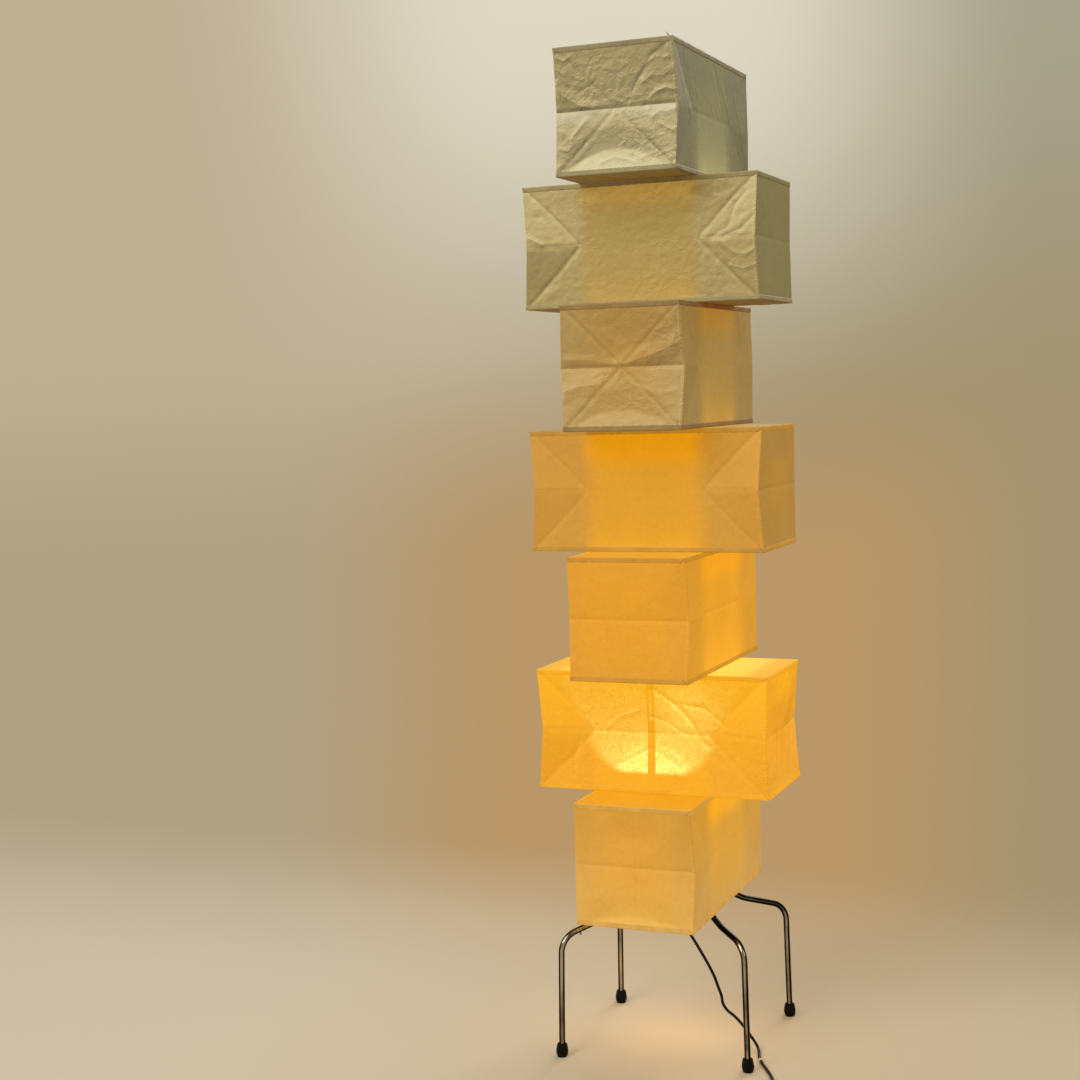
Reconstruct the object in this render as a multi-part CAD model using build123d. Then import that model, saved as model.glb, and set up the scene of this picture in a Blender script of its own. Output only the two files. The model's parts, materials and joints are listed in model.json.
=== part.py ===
"""Andon floor lamp: a folding paper shade of seven crossed boxes on a four-legged steel stand.

Millimetres, +Z up. The origin is on the floor, on the axis of the shade. The storeys are counted
from the bottom: odd ones lie along Y and even ones along X.
"""

from build123d import *
import os
from math import atan2, ceil, cos, degrees, pi, radians, sin, tan

# ---- shade ----
STOREYS = 7
STOREY_WIDTH = 231.0  # outside, across a storey
STOREY_LENGTH = 466.0  # outside, along a storey
STOREY_HEIGHT = 234.0
SHADE_BOTTOM = 286.0  # floor to the bottom frame
PAPER = 0.8  # paper with its glued hems
CORNER_PINCH = 7.0  # how far a corner folds in at mid height
WING_OVERLAP = 5.0  # how far a wing reaches in past the neighbour's wall
RING_WIRE = 3.0
RING_INSET = 1.2  # wire to the inside of the wall
RING_CORNER = 6.0  # bend radius of a frame's corners, on the wire's centre line
TIE_THREAD = 0.5
TIE_BAND = 0.8
TIE_NOTCH = 10.0  # opening in a wing around a tie

# ---- legs ----
TUBE = 12.0
TUBE_WALL = 1.2
LEG_KNEE_RADIUS = 42.0
LEG_ELBOW_RADIUS = 60.0
LEG_SPLAY = 1.3  # degrees from the vertical
ARM_RISE = 16.7  # degrees, knee to elbow
ARM_CLIMB = 28.0  # degrees, elbow to hub
ELBOW_REACH = 158.0
ELBOW_HEIGHT = 261.8
LEG_END_REACH = 14.0
LEGS = {  # name: (heading in degrees from +X, reach of the knee)
    "front_left": (-135.5, 244.0),
    "front_right": (-36.5, 229.0),
    "rear_right": (45.0, 256.0),
    "rear_left": (138.5, 228.0),
}
TIP_DIAMETER = 24.0
TIP_HEIGHT = 26.0
TIP_FLOOR = 5.0  # rubber under the tube's end
TIP_PROFILE = [  # (share of the radius, share of the height)
    (0.78, 0.02),
    (0.92, 0.16),
    (1.00, 0.38),
    (0.97, 0.55),
    (0.86, 0.85),
    (0.80, 0.96),
    (0.72, 1.00),
]
STUD_DIAMETER = 4.0
STUD_LENGTH = 5.0
STUD_REACH = 206.0

# ---- hub and stretcher ----
HUB_DIAMETER = 70.0
HUB_HEIGHT = 36.0
HUB_BOTTOM = 314.0
HUB_BEVEL = 2.5
SCREW_REACH = 26.0
LEG_SCREW = 4.0
LEG_SCREW_HEAD = 7.0
LEG_SCREW_HEAD_HEIGHT = 2.5
BAR_WIDTH = 18.0
BAR_THICKNESS = 4.0
BAR_OVERHANG = 12.0  # bar past the rods' axes
ROD = 9.0
ROD_SPREAD = 72.0  # lamp's axis to a rod's axis
LOWER_ROD_LENGTH = 233.0
SPLICE_GAP = 23.0  # between a lower rod and the upper one
SPLICE_DIAMETER = 10.8
SPLICE_LENGTH = 80.0
SPLICE_SLOT = 2.6
SPLICE_ENGAGEMENT = 12.0  # sleeve over the lower rod
BAR_SCREW = 5.0
BAR_SCREW_HEAD = 9.0
BAR_SCREW_HEAD_HEIGHT = 3.5
BAR_SCREW_GRIP = 10.0  # thread in the rod
HOLE_RUNOUT = 2.0  # hole past the end of its screw
BRIDGE_WIDTH = 16.0
BRIDGE_THICKNESS = 6.0
BRIDGE_OVERHANG = 4.0  # bridge past the cross wires

# ---- lampholder and bulb ----
NIPPLE = 9.9
NIPPLE_BORE = 7.0
NIPPLE_END = 2.0  # thread past the nut
NIPPLE_IN_HOLDER = 6.0  # thread inside the lampholder's cap
NUT_ACROSS_FLATS = 14.0
NUT_HEIGHT = 6.0
GLAND_LENGTH = 34.0
GLAND_COLLAR = 6.0  # height of the straight collar at its top
GLAND_SHOULDER = 3.0
GLAND_TOP = 15.0
GLAND_TIP = 8.4
HOLDER_CAP = 36.0
HOLDER_CAP_HEIGHT = 18.0
HOLDER_SHOULDER = (3.0, 4.0)  # (in, up) of the cap's sloping shoulder
HOLDER_WALL = 2.5
HOLDER_BODY = 39.0
HOLDER_BODY_HEIGHT = 40.0
HOLDER_BODY_FLOOR = 6.0
HOLDER_FLARE = 8.0  # height over which the body widens
HOLDER_RIM = 2.0
TONGUE = 8.0  # width of the centre contact
SHELL_WALL = 0.35
SHELL_RECESS = 3.0  # thread shell and bulb cap below the holder's rim
BULB_CAP = 26.3
BULB_CAP_HEIGHT = 26.0
BULB_SOLE = 2.0  # insulator and contact under the cap
BULB_SOLE_RADII = (4.5, 9.0)
BULB_CAP_EDGE = 2.0
BULB_NECK = 8.0  # straight glass above the cap
BULB_GLOBE = 60.0
BULB_HEIGHT = 80.0  # glass above its cap
BULB_GLASS = 0.8

# ---- cord ----
CORD = 5.8
COIL_CENTRE = (175.0, -300.0)
COIL_MEAN_RADIUS = 32.0
COIL_WIDTH = 17.6
COIL_HEIGHT = 12.4
COIL_LIFT = 1.3  # the tie under the coil holds it off the floor
COIL_TIE_WIDTH = 6.0
COIL_TIE = 1.0
ON_FLOOR = CORD / 2 + 0.1
CORD_ROUTE = [
    (0.0, 0.0),  # its height is the gland's tip
    (0.0, 0.0, 251.0),
    (30.0, -3.8, 221.0),
    (58.0, -7.0, 180.0),
    (84.0, -10.3, 138.0),
    (93.0, -11.5, 113.0),
    (100.0, -12.3, 97.0),
    (101.0, -12.4, 82.0),
    (111.0, -13.7, 68.5),
    (126.0, -15.5, 60.5),
    (143.0, -17.5, 45.0),
    (162.0, -20.5, 23.0),
    (174.0, -25.0, 9.5),
    (182.0, -39.0, ON_FLOOR),
    (188.0, -62.0, ON_FLOOR),
    (197.0, -84.0, ON_FLOOR),
    (208.0, -104.0, ON_FLOOR),
    (224.0, -130.0, ON_FLOOR),
    (243.0, -165.0, ON_FLOOR),
    (255.0, -197.0, ON_FLOOR),
    (261.6, -234.4, 5.0),
    (274.1, -305.3, 5.0),
    (268.0, -340.5, 3.4),
    (243.0, -358.0, 3.0),
    (211.0, -351.5, 3.4),
    (184.0, -339.6, 4.4),
]
TAIL_ROUTE = [
    (172.0, -337.8, 10.4),
    (147.0, -341.0, 8.4),
    (124.5, -331.0, 7.2),
    (100.0, -331.0, 7.2),
]

# ---- switch on the cord ----
SWITCH_CENTRE = (267.85, -269.85)
SWITCH_TURN = 10.0  # degrees, from lying along Y
SWITCH_LENGTH = 50.0
SWITCH_WIDTH = 26.0
SWITCH_BASE_HEIGHT = 5.0
SWITCH_HEIGHT = 15.6
SWITCH_EDGE = 2.0
ROCKER_WIDTH = 11.0
ROCKER_PIVOT_HEIGHT = 12.0
ROCKER_HALF_LENGTH = 7.6
ROCKER_SKIRT = 1.0  # rocker below its pivot
ROCKER_RISE = 0.5  # its raised ends above the cover
ROCKER_DIP = 0.9  # its middle below the cover
ROCKER_DRAFT = 0.8
ROCKER_END_GAP = 0.7
ROCKER_WELL = 2.6  # pocket below the pivot
ROCKER_THROW = 14.0  # degrees from ON to OFF
ROCKER_TRUNNION = 2.0
ROCKER_PIN_GRIP = 1.0  # trunnion in the cover's wall
SWITCH_SCREW = 2.9
SWITCH_SCREW_HEAD = 5.4
SWITCH_SCREW_SPACING = 17.0
SWITCH_SCREW_INSET = 7.5
SWITCH_SCREW_TOP = 12.0
SWITCH_SCREW_SINK = 2.4  # depth of the recess for its head

# ---- plug ----
PLUG_TAPER = 18.0
PLUG_BODY = (32.0, 25.0, 14.0)  # along X, Y and Z
PLUG_EDGE = 3.0
PLUG_COLLAR = 0.8  # moulding over the cord
BLADE = (17.5, 1.5, 6.3)  # along X, Y and Z
BLADE_SPACING = 12.7

# ---- clearances ----
TOUCH = 0.1  # between pieces that lie against each other
FIT = 0.05  # radial, a rod or tube in its bore
SLIDE_FIT = 0.2  # radial, loose bores
SEAM = 0.05  # between two sheets at a corner


# ---- derived levels ----
HUB_TOP = HUB_BOTTOM + HUB_HEIGHT
BAR_TOP = HUB_TOP + BAR_THICKNESS
SHADE_TOP = SHADE_BOTTOM + STOREYS * STOREY_HEIGHT
RING_DEPTH = TOUCH + PAPER + TOUCH + RING_WIRE / 2  # storey's end to its wire's centre
WIRE_LINE = STOREY_WIDTH / 2 - PAPER - RING_INSET - RING_WIRE / 2  # side wires, from the axis
BRIDGE_TOP = SHADE_TOP - RING_DEPTH - RING_WIRE / 2 - TOUCH
LOWER_ROD_TOP = BAR_TOP + LOWER_ROD_LENGTH
UPPER_ROD_BOTTOM = LOWER_ROD_TOP + SPLICE_GAP
NIPPLE_BOTTOM = HUB_BOTTOM - NUT_HEIGHT - NIPPLE_END
GLAND_TIP_HEIGHT = HUB_BOTTOM - NUT_HEIGHT - GLAND_LENGTH
SHELL_OUTER = BULB_CAP / 2 + SLIDE_FIT + SHELL_WALL
HOLDER_BODY_BOTTOM = BAR_TOP + HOLDER_CAP_HEIGHT
HOLDER_BODY_TOP = HOLDER_BODY_BOTTOM + HOLDER_BODY_HEIGHT
CAP_BOTTOM = HOLDER_BODY_TOP - BULB_CAP_HEIGHT - SHELL_RECESS
CAP_TOP = CAP_BOTTOM + BULB_CAP_HEIGHT


def save(node, *solids):
    """Write the solids of one node to its STEP file."""
    shape = solids[0] if len(solids) == 1 else Compound(children=list(solids))
    export_step(shape, f"parts/{node}.step")


def rod_between(start, end, radius):
    """A round bar from one point to another."""
    along = Vector(*end) - Vector(*start)
    return Solid.make_cylinder(radius, along.length, Plane(origin=start, z_dir=along))


def block(x, y, z):
    """A box given by its (low, high) pair on each axis."""
    size = [high - low for low, high in (x, y, z)]
    centre = [(high + low) / 2 for low, high in (x, y, z)]
    return Pos(*centre) * Box(*size)


def turned(profile):
    """A body of revolution about Z, from its (radius, height) outline."""
    outline = Plane.XZ * make_face(Polyline(*profile, close=True))
    return revolve(outline, Axis.Z)


def ring_of(outer, inner, bottom, top):
    """A plain tube about Z, by its radii and heights."""
    return turned([(inner, bottom), (outer, bottom), (outer, top), (inner, top)])


# ---------------------------------------------------------------- shade


def storey_bottom(storey):
    """Height of the bottom edge of a storey, counted from 1."""
    return SHADE_BOTTOM + (storey - 1) * STOREY_HEIGHT


def turned_for(storey, solid):
    """Turn a solid that is drawn lying along Y to lie the way its storey does."""
    return solid if storey % 2 else Rot(0, 0, 90) * solid


def sheet(corners, inward):
    """One flat facet of paper, thickened towards the inside of the storey."""
    outline = make_face(Polyline(*corners, close=True))
    return Solid.extrude(outline.face(), Vector(*inward) * PAPER)


def creased_wall(length, place, inward, bottom, top):
    """A paper wall whose ends fold in at mid height, along creases at 45 degrees.

    place(u, depth, z) gives the point that lies u along the wall and depth inside its flat plane.
    """
    half = length / 2
    middle = (bottom + top) / 2
    apex = min((top - bottom) / 2, half)
    flat = {
        end: (
            place(end * half, 0, top),
            place(end * (half - CORNER_PINCH), CORNER_PINCH, middle),
            place(end * half, 0, bottom),
            place(end * (half - apex), 0, middle),
        )
        for end in (-1, 1)
    }
    facets = []
    for upper, fold, lower, tip in flat.values():
        facets += [[upper, fold, tip], [fold, lower, tip]]
    (left_top, _, left_bottom, left_tip), (right_top, _, right_bottom, right_tip) = flat.values()
    if apex < half:
        facets.append([left_top, left_tip, left_bottom, right_bottom, right_tip, right_top])
    else:
        facets += [[left_top, left_tip, right_top], [left_bottom, left_tip, right_bottom]]
    first, *others = [sheet(facet, inward) for facet in facets]
    return first.fuse(*others).clean().solid()


def wing(end, bottom):
    """The flat sheet that closes the part of a storey that reaches past its neighbour."""
    side = STOREY_WIDTH / 2 - PAPER - TOUCH - SEAM
    near = STOREY_WIDTH / 2 - WING_OVERLAP
    far = STOREY_LENGTH / 2 - PAPER - TOUCH - SEAM
    level = (bottom, bottom + PAPER)
    reach = (near, far) if end > 0 else (-far, -near)
    shape = block((-side, side), reach, level)
    for x in (-WIRE_LINE, WIRE_LINE):
        notch = (x - TIE_NOTCH / 2, x + TIE_NOTCH / 2)
        deep = (end * WIRE_LINE - TIE_NOTCH / 2, end * WIRE_LINE + TIE_NOTCH / 2)
        shape -= block(notch, deep, level)
    return shape


def paper_storey(storey):
    """The eight sheets of one storey: two long walls, two end walls and four wings."""
    bottom = storey_bottom(storey) + TOUCH
    top = storey_bottom(storey) + STOREY_HEIGHT - TOUCH
    half_width = STOREY_WIDTH / 2
    half_length = STOREY_LENGTH / 2
    sheets = []
    for side in (-1, 1):
        long_wall = creased_wall(
            STOREY_LENGTH,
            lambda u, depth, z, side=side: (side * (half_width - depth), u, z),
            (-side, 0, 0),
            bottom,
            top,
        )
        end_wall = creased_wall(
            STOREY_WIDTH - 2 * (PAPER + SEAM),
            lambda u, depth, z, side=side: (u, side * (half_length - depth), z),
            (0, -side, 0),
            bottom,
            top,
        )
        sheets += [long_wall, end_wall, wing(side, bottom), wing(side, top - PAPER)]
    return [turned_for(storey, s) for s in sheets]


def wire_ring(storey, height):
    """The bent wire frame along one end of a storey, at the height of its centre line."""
    x = WIRE_LINE
    y = STOREY_LENGTH / 2 - PAPER - RING_INSET - RING_WIRE / 2
    start = (0, -y, height)
    half = FilletPolyline(start, (x, -y, height), (x, y, height), (0, y, height), radius=RING_CORNER)
    section = Plane(origin=start, z_dir=(1, 0, 0)) * Circle(RING_WIRE / 2)
    right = sweep(section, path=half)
    ring = right + mirror(right, about=Plane.YZ)
    return turned_for(storey, ring)


def tie(x, y, junction):
    """The thread that binds two crossing frame wires at (x, y)."""
    half_width = RING_WIRE / 2 * 2**0.5 + TIE_BAND / 2 + TOUCH
    half_height = RING_DEPTH + RING_WIRE / 2 + TOUCH
    loop = Box(2 * (half_width + TIE_THREAD), TIE_BAND, 2 * (half_height + TIE_THREAD))
    loop -= Box(2 * half_width, TIE_BAND, 2 * half_height)
    heading = -45 if x * y > 0 else 45
    return Pos(x, y, junction) * Rot(0, 0, heading) * loop


def build_shade():
    """Seven paper storeys, their fourteen frames, the ties between them and the cross wires."""
    for storey in range(1, STOREYS + 1):
        bottom = storey_bottom(storey)
        save(f"paper_storey_{storey}", *paper_storey(storey))
        save(f"frame_{storey}_bottom", wire_ring(storey, bottom + RING_DEPTH))
        save(f"frame_{storey}_top", wire_ring(storey, bottom + STOREY_HEIGHT - RING_DEPTH))
    for storey in range(1, STOREYS):
        junction = storey_bottom(storey) + STOREY_HEIGHT
        corners = [(x, y) for x in (-WIRE_LINE, WIRE_LINE) for y in (-WIRE_LINE, WIRE_LINE)]
        save(f"ties_{storey}", *[tie(x, y, junction) for x, y in corners])
    reach = WIRE_LINE - RING_WIRE / 2 - TOUCH
    for node, height in (
        ("bottom_cross_wires", SHADE_BOTTOM + RING_DEPTH),
        ("top_cross_wires", SHADE_TOP - RING_DEPTH),
    ):
        wires = [
            rod_between((-reach, y, height), (reach, y, height), RING_WIRE / 2)
            for y in (-WIRE_LINE, WIRE_LINE)
        ]
        save(node, *wires)


# ---------------------------------------------------------------- legs and hub


def arm_height(reach):
    """Height of a leg's centre line between its elbow and the hub."""
    return ELBOW_HEIGHT + (ELBOW_REACH - reach) * tan(radians(ARM_CLIMB))


def at(reach, heading, height):
    """A point by its distance from the lamp's axis, its heading and its height."""
    return (reach * cos(radians(heading)), reach * sin(radians(heading)), height)


def knee_height(reach):
    """Height where the upright of a leg would meet its arm."""
    return ELBOW_HEIGHT - (reach - ELBOW_REACH) * tan(radians(ARM_RISE))


def foot_reach(reach):
    """Distance from the lamp's axis to where a leg's centre line meets the floor."""
    return reach + knee_height(reach) * tan(radians(LEG_SPLAY))


def leg(heading, reach):
    """One bent tube from its rubber tip to the hub."""
    low = TIP_FLOOR
    points = [
        at(foot_reach(reach) - low * tan(radians(LEG_SPLAY)), heading, low),
        at(reach, heading, knee_height(reach)),
        at(ELBOW_REACH, heading, ELBOW_HEIGHT),
        at(LEG_END_REACH, heading, arm_height(LEG_END_REACH)),
    ]
    path = FilletPolyline(*points, radius=[LEG_KNEE_RADIUS, LEG_ELBOW_RADIUS])
    section = Circle(TUBE / 2) - Circle(TUBE / 2 - TUBE_WALL)
    return sweep(Plane(origin=points[0], z_dir=path % 0) * section, path=path)


def foot_tip(heading, reach):
    """The rubber tip of one leg, bored for the tube and cut flat where it stands."""
    bore = TUBE / 2 + FIT
    skirt = TIP_DIAMETER * tan(radians(LEG_SPLAY))
    side = [(share * TIP_DIAMETER / 2, level * TIP_HEIGHT) for share, level in TIP_PROFILE]
    outline = [(0, -skirt), (side[0][0], -skirt), *side]
    outline += [(bore, TIP_HEIGHT), (bore, TIP_FLOOR - FIT), (0, TIP_FLOOR - FIT)]
    tip = Rot(0, -LEG_SPLAY, 0) * turned(outline)
    tip = Rot(0, 0, heading) * Pos(foot_reach(reach), 0, 0) * tip
    cutter = Box(3 * TIP_DIAMETER, 3 * TIP_DIAMETER, TIP_HEIGHT)
    below = Pos(*at(foot_reach(reach), heading, -TIP_HEIGHT / 2)) * cutter
    return tip - below


def leg_screw(heading):
    """The screw under the hub that clamps one leg in its bore."""
    outer = SCREW_REACH + LEG_SCREW / 2
    top = arm_height(outer) - TUBE / 2 / cos(radians(ARM_CLIMB)) - TOUCH
    x, y, _ = at(SCREW_REACH, heading, 0)
    shank = rod_between((x, y, HUB_BOTTOM - TOUCH), (x, y, top), LEG_SCREW / 2)
    head_bottom = HUB_BOTTOM - TOUCH - LEG_SCREW_HEAD_HEIGHT
    head = rod_between((x, y, head_bottom), (x, y, HUB_BOTTOM - TOUCH), LEG_SCREW_HEAD / 2)
    return shank + head


def arm_stud(heading, reach):
    """The small stud under the arm of the front left leg."""
    slope = radians(ARM_RISE)
    centre = ELBOW_HEIGHT - (STUD_REACH - ELBOW_REACH) * tan(slope)
    down = Vector(*at(-sin(slope), heading, -cos(slope)))
    start = Vector(*at(STUD_REACH, heading, centre)) + down * (TUBE / 2 + TOUCH)
    return rod_between(tuple(start), tuple(start + down * STUD_LENGTH), STUD_DIAMETER / 2)


def hub():
    """The turned block that holds the four legs, the stretcher and the lampholder."""
    body = Pos(0, 0, HUB_BOTTOM + HUB_HEIGHT / 2) * Cylinder(HUB_DIAMETER / 2, HUB_HEIGHT)
    body = chamfer(body.edges(), HUB_BEVEL)
    body -= Pos(0, 0, HUB_BOTTOM + HUB_HEIGHT / 2) * Cylinder(NIPPLE / 2 + FIT, HUB_HEIGHT)
    for heading, _ in LEGS.values():
        inner = at(LEG_END_REACH, heading, arm_height(LEG_END_REACH))
        outer = at(HUB_DIAMETER, heading, arm_height(HUB_DIAMETER))
        body -= rod_between(inner, outer, TUBE / 2 + FIT)
        x, y, low = at(SCREW_REACH, heading, HUB_BOTTOM)
        body -= rod_between((x, y, low), (x, y, arm_height(SCREW_REACH)), LEG_SCREW / 2 + FIT)
    return body


def build_stand():
    """Four legs with their tips and screws, and the hub."""
    for name, (heading, reach) in LEGS.items():
        save(f"leg_{name}", leg(heading, reach))
    save("foot_tips", *[foot_tip(heading, reach) for heading, reach in LEGS.values()])
    screws = [leg_screw(heading) for heading, _ in LEGS.values()]
    save("leg_screws", *screws, arm_stud(*LEGS["front_left"]))
    save("hub", hub())


# ---------------------------------------------------------------- stretcher


def slotted_sleeve(y):
    """The sleeve that joins a lower rod to an upper one, with a slot at the gap between them."""
    bottom = LOWER_ROD_TOP - SPLICE_ENGAGEMENT
    sleeve = ring_of(SPLICE_DIAMETER / 2, ROD / 2 + FIT, bottom, bottom + SPLICE_LENGTH)
    half = SPLICE_SLOT / 2
    depth = SPLICE_DIAMETER
    sleeve -= block((-half, half), (-depth, depth), (LOWER_ROD_TOP, UPPER_ROD_BOTTOM))
    return Pos(0, y, 0) * sleeve


def build_stretcher():
    """The rod frame that carries the top of the shade."""
    half = ROD_SPREAD + BAR_OVERHANG
    ends = (-ROD_SPREAD, ROD_SPREAD)
    bar = block((-BAR_WIDTH / 2, BAR_WIDTH / 2), (-half, half), (HUB_TOP, BAR_TOP))
    bar = fillet(bar.edges().filter_by(Axis.Z), BAR_WIDTH / 3)
    bar -= rod_between((0, 0, HUB_TOP), (0, 0, BAR_TOP), NIPPLE / 2 + FIT)
    for y in ends:
        bar -= rod_between((0, y, HUB_TOP), (0, y, BAR_TOP), BAR_SCREW / 2 + FIT)
    save("stretcher_base_bar", bar)

    lower, upper, screws = [], [], []
    for y in ends:
        rod = rod_between((0, y, BAR_TOP), (0, y, LOWER_ROD_TOP), ROD / 2)
        grip = BAR_TOP + BAR_SCREW_GRIP
        rod -= rod_between((0, y, BAR_TOP), (0, y, grip + HOLE_RUNOUT), BAR_SCREW / 2 + FIT)
        lower.append(rod)
        upper.append(rod_between((0, y, UPPER_ROD_BOTTOM), (0, y, BRIDGE_TOP), ROD / 2))
        low = HUB_TOP - BAR_SCREW_HEAD_HEIGHT
        head = rod_between((0, y, low), (0, y, HUB_TOP), BAR_SCREW_HEAD / 2)
        screws.append(head + rod_between((0, y, HUB_TOP), (0, y, grip), BAR_SCREW / 2))
    save("stretcher_lower_rods", *lower)
    save("stretcher_upper_rods", *upper)
    save("bar_screws", *screws)
    save("splice_sleeves", *[slotted_sleeve(y) for y in ends])

    half = WIRE_LINE + BRIDGE_OVERHANG - RING_WIRE / 2 - RING_INSET
    level = (BRIDGE_TOP - BRIDGE_THICKNESS, BRIDGE_TOP)
    bridge = block((-BRIDGE_WIDTH / 2, BRIDGE_WIDTH / 2), (-half, half), level)
    bridge = fillet(bridge.edges().filter_by(Axis.Z), BRIDGE_WIDTH / 4)
    for y in ends:
        bridge -= rod_between((0, y, level[0]), (0, y, level[1]), ROD / 2 + FIT)
    save("top_bridge", bridge)


# ---------------------------------------------------------------- lampholder and bulb


def build_light():
    """The nipple and nut through the hub, the cord's gland, the lampholder and its bulb."""
    nipple_top = BAR_TOP + HOLDER_WALL + NIPPLE_IN_HOLDER
    save("nipple", ring_of(NIPPLE / 2, NIPPLE_BORE / 2, NIPPLE_BOTTOM, nipple_top))
    nut_bottom = HUB_BOTTOM - NUT_HEIGHT
    nut = Pos(0, 0, nut_bottom) * extrude(
        RegularPolygon(NUT_ACROSS_FLATS / 2, 6, major_radius=False), NUT_HEIGHT
    )
    nut -= rod_between((0, 0, nut_bottom), (0, 0, HUB_BOTTOM), NIPPLE / 2 + FIT)
    save("nipple_nut", nut)

    socket = NIPPLE / 2 + FIT
    gland = turned(
        [
            (0, GLAND_TIP_HEIGHT),
            (GLAND_TIP / 2, GLAND_TIP_HEIGHT),
            (GLAND_TOP / 2 - 1.0, nut_bottom - GLAND_COLLAR - GLAND_SHOULDER),
            (GLAND_TOP / 2, nut_bottom - GLAND_COLLAR),
            (GLAND_TOP / 2, nut_bottom),
            (socket, nut_bottom),
            (socket, NIPPLE_BOTTOM - TOUCH),
            (0, NIPPLE_BOTTOM - TOUCH),
        ]
    )
    save("cord_gland", gland)

    cap_radius = HOLDER_CAP / 2
    cap = turned(
        [
            (socket, BAR_TOP),
            (cap_radius - HOLDER_SHOULDER[0], BAR_TOP),
            (cap_radius, BAR_TOP + HOLDER_SHOULDER[1]),
            (cap_radius, HOLDER_BODY_BOTTOM),
            (cap_radius - HOLDER_WALL, HOLDER_BODY_BOTTOM),
            (cap_radius - HOLDER_WALL, BAR_TOP + HOLDER_WALL),
            (socket, BAR_TOP + HOLDER_WALL),
        ]
    )
    save("holder_cap", cap)

    body_radius = HOLDER_BODY / 2
    bore = SHELL_OUTER + FIT
    floor = HOLDER_BODY_BOTTOM + HOLDER_BODY_FLOOR
    body = turned(
        [
            (0, HOLDER_BODY_BOTTOM),
            (cap_radius, HOLDER_BODY_BOTTOM),
            (body_radius, HOLDER_BODY_BOTTOM + HOLDER_FLARE),
            (body_radius, HOLDER_BODY_TOP - HOLDER_RIM),
            (body_radius - HOLDER_RIM, HOLDER_BODY_TOP),
            (bore, HOLDER_BODY_TOP),
            (bore, floor),
            (0, floor),
        ]
    )
    save("holder_body", body)
    shell = ring_of(SHELL_OUTER, SHELL_OUTER - SHELL_WALL, floor, HOLDER_BODY_TOP - SHELL_RECESS)
    tongue_top = CAP_BOTTOM - BULB_SOLE
    tongue = rod_between((0, 0, floor), (0, 0, tongue_top), TONGUE / 2)
    save("holder_contacts", shell, tongue)

    cap_r = BULB_CAP / 2
    bulb_cap = turned(
        [
            (0, tongue_top + TOUCH),
            (BULB_SOLE_RADII[0], tongue_top + TOUCH),
            (BULB_SOLE_RADII[1], CAP_BOTTOM),
            (cap_r, CAP_BOTTOM + BULB_CAP_EDGE),
            (cap_r, CAP_TOP),
            (0, CAP_TOP),
        ]
    )
    save("bulb_cap", bulb_cap)
    save("bulb_glass", bulb_glass())


def bulb_glass():
    """The hollow glass of the bulb: a neck that opens into a globe."""
    globe = BULB_GLOBE / 2
    centre = CAP_TOP + BULB_HEIGHT - globe

    def outline(inset):
        """Face inside the glass by the inset, from the neck to the pole."""
        neck = BULB_CAP / 2 - inset
        radius = globe - inset
        shoulder = (neck, CAP_TOP + BULB_NECK)
        side = Spline((neck, CAP_TOP), shoulder, (radius, centre), tangents=((0, 1), (0, 1)))
        pole = CenterArc((0, centre), radius, 0, 90)
        edge = Polyline((0, centre + radius), (0, CAP_TOP), (neck, CAP_TOP))
        return Plane.XZ * make_face(side + pole + edge)

    return revolve(outline(0), Axis.Z) - revolve(outline(BULB_GLASS), Axis.Z)


# ---------------------------------------------------------------- cord, switch and plug


def cord_tube(name, points):
    """A tube along straight runs joined by the largest arcs that the runs allow."""
    corners = [Vector(*p) for p in points]
    radii = []
    for before, corner, after in zip(corners, corners[1:], corners[2:]):
        shorter = min((corner - before).length, (after - corner).length)
        half_turn = radians((corner - before).get_angle(after - corner)) / 2
        radii.append(0.45 * shorter / tan(half_turn))
    path = FilletPolyline(*points, radius=radii)
    tube = sweep(Plane(origin=points[0], z_dir=path % 0) * Circle(CORD / 2), path=path)
    length = sum(edge.length for edge in path.edges())
    print(f"{name}: length {length:.0f} mm, radii {[round(r) for r in radii]}")
    print(f"{name}: volume over section x length {tube.volume / (pi * CORD**2 / 4 * length):.4f}")
    return tube


def build_cord():
    """The cord from the gland to its coil, the coil with its tie, and the tail to the plug."""
    route = [(*CORD_ROUTE[0], GLAND_TIP_HEIGHT)] + CORD_ROUTE[1:]
    save("cord", cord_tube("cord", route))
    save("cord_tail", cord_tube("cord_tail", TAIL_ROUTE))
    x, y = COIL_CENTRE
    section = RectangleRounded(COIL_WIDTH, COIL_HEIGHT, CORD / 2 - TOUCH)
    middle = COIL_LIFT + COIL_HEIGHT / 2
    coil = revolve(Plane.XZ * Pos(COIL_MEAN_RADIUS, middle) * section, Axis.Z)
    save("cord_coil", Pos(x, y, 0) * coil)
    inner = COIL_MEAN_RADIUS - COIL_WIDTH / 2
    near = inner - COIL_TIE_WIDTH**2 / 8 / inner - TOUCH
    far = COIL_MEAN_RADIUS + COIL_WIDTH / 2 + TOUCH
    half = COIL_TIE_WIDTH / 2
    low, high = COIL_LIFT - TOUCH, COIL_LIFT + COIL_HEIGHT + TOUCH
    band = block((-half, half), (near - COIL_TIE, far + COIL_TIE), (low - COIL_TIE, high + COIL_TIE))
    band -= block((-half, half), (near, far), (low, high))
    save("cord_tie", Pos(x, y, 0) * band)


def switch_blank(bottom, top):
    """The switch's outline between two heights, with rounded corners."""
    plan = RectangleRounded(SWITCH_WIDTH, SWITCH_LENGTH, 3 * SWITCH_EDGE)
    return Pos(0, 0, bottom) * extrude(plan, top - bottom)


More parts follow.
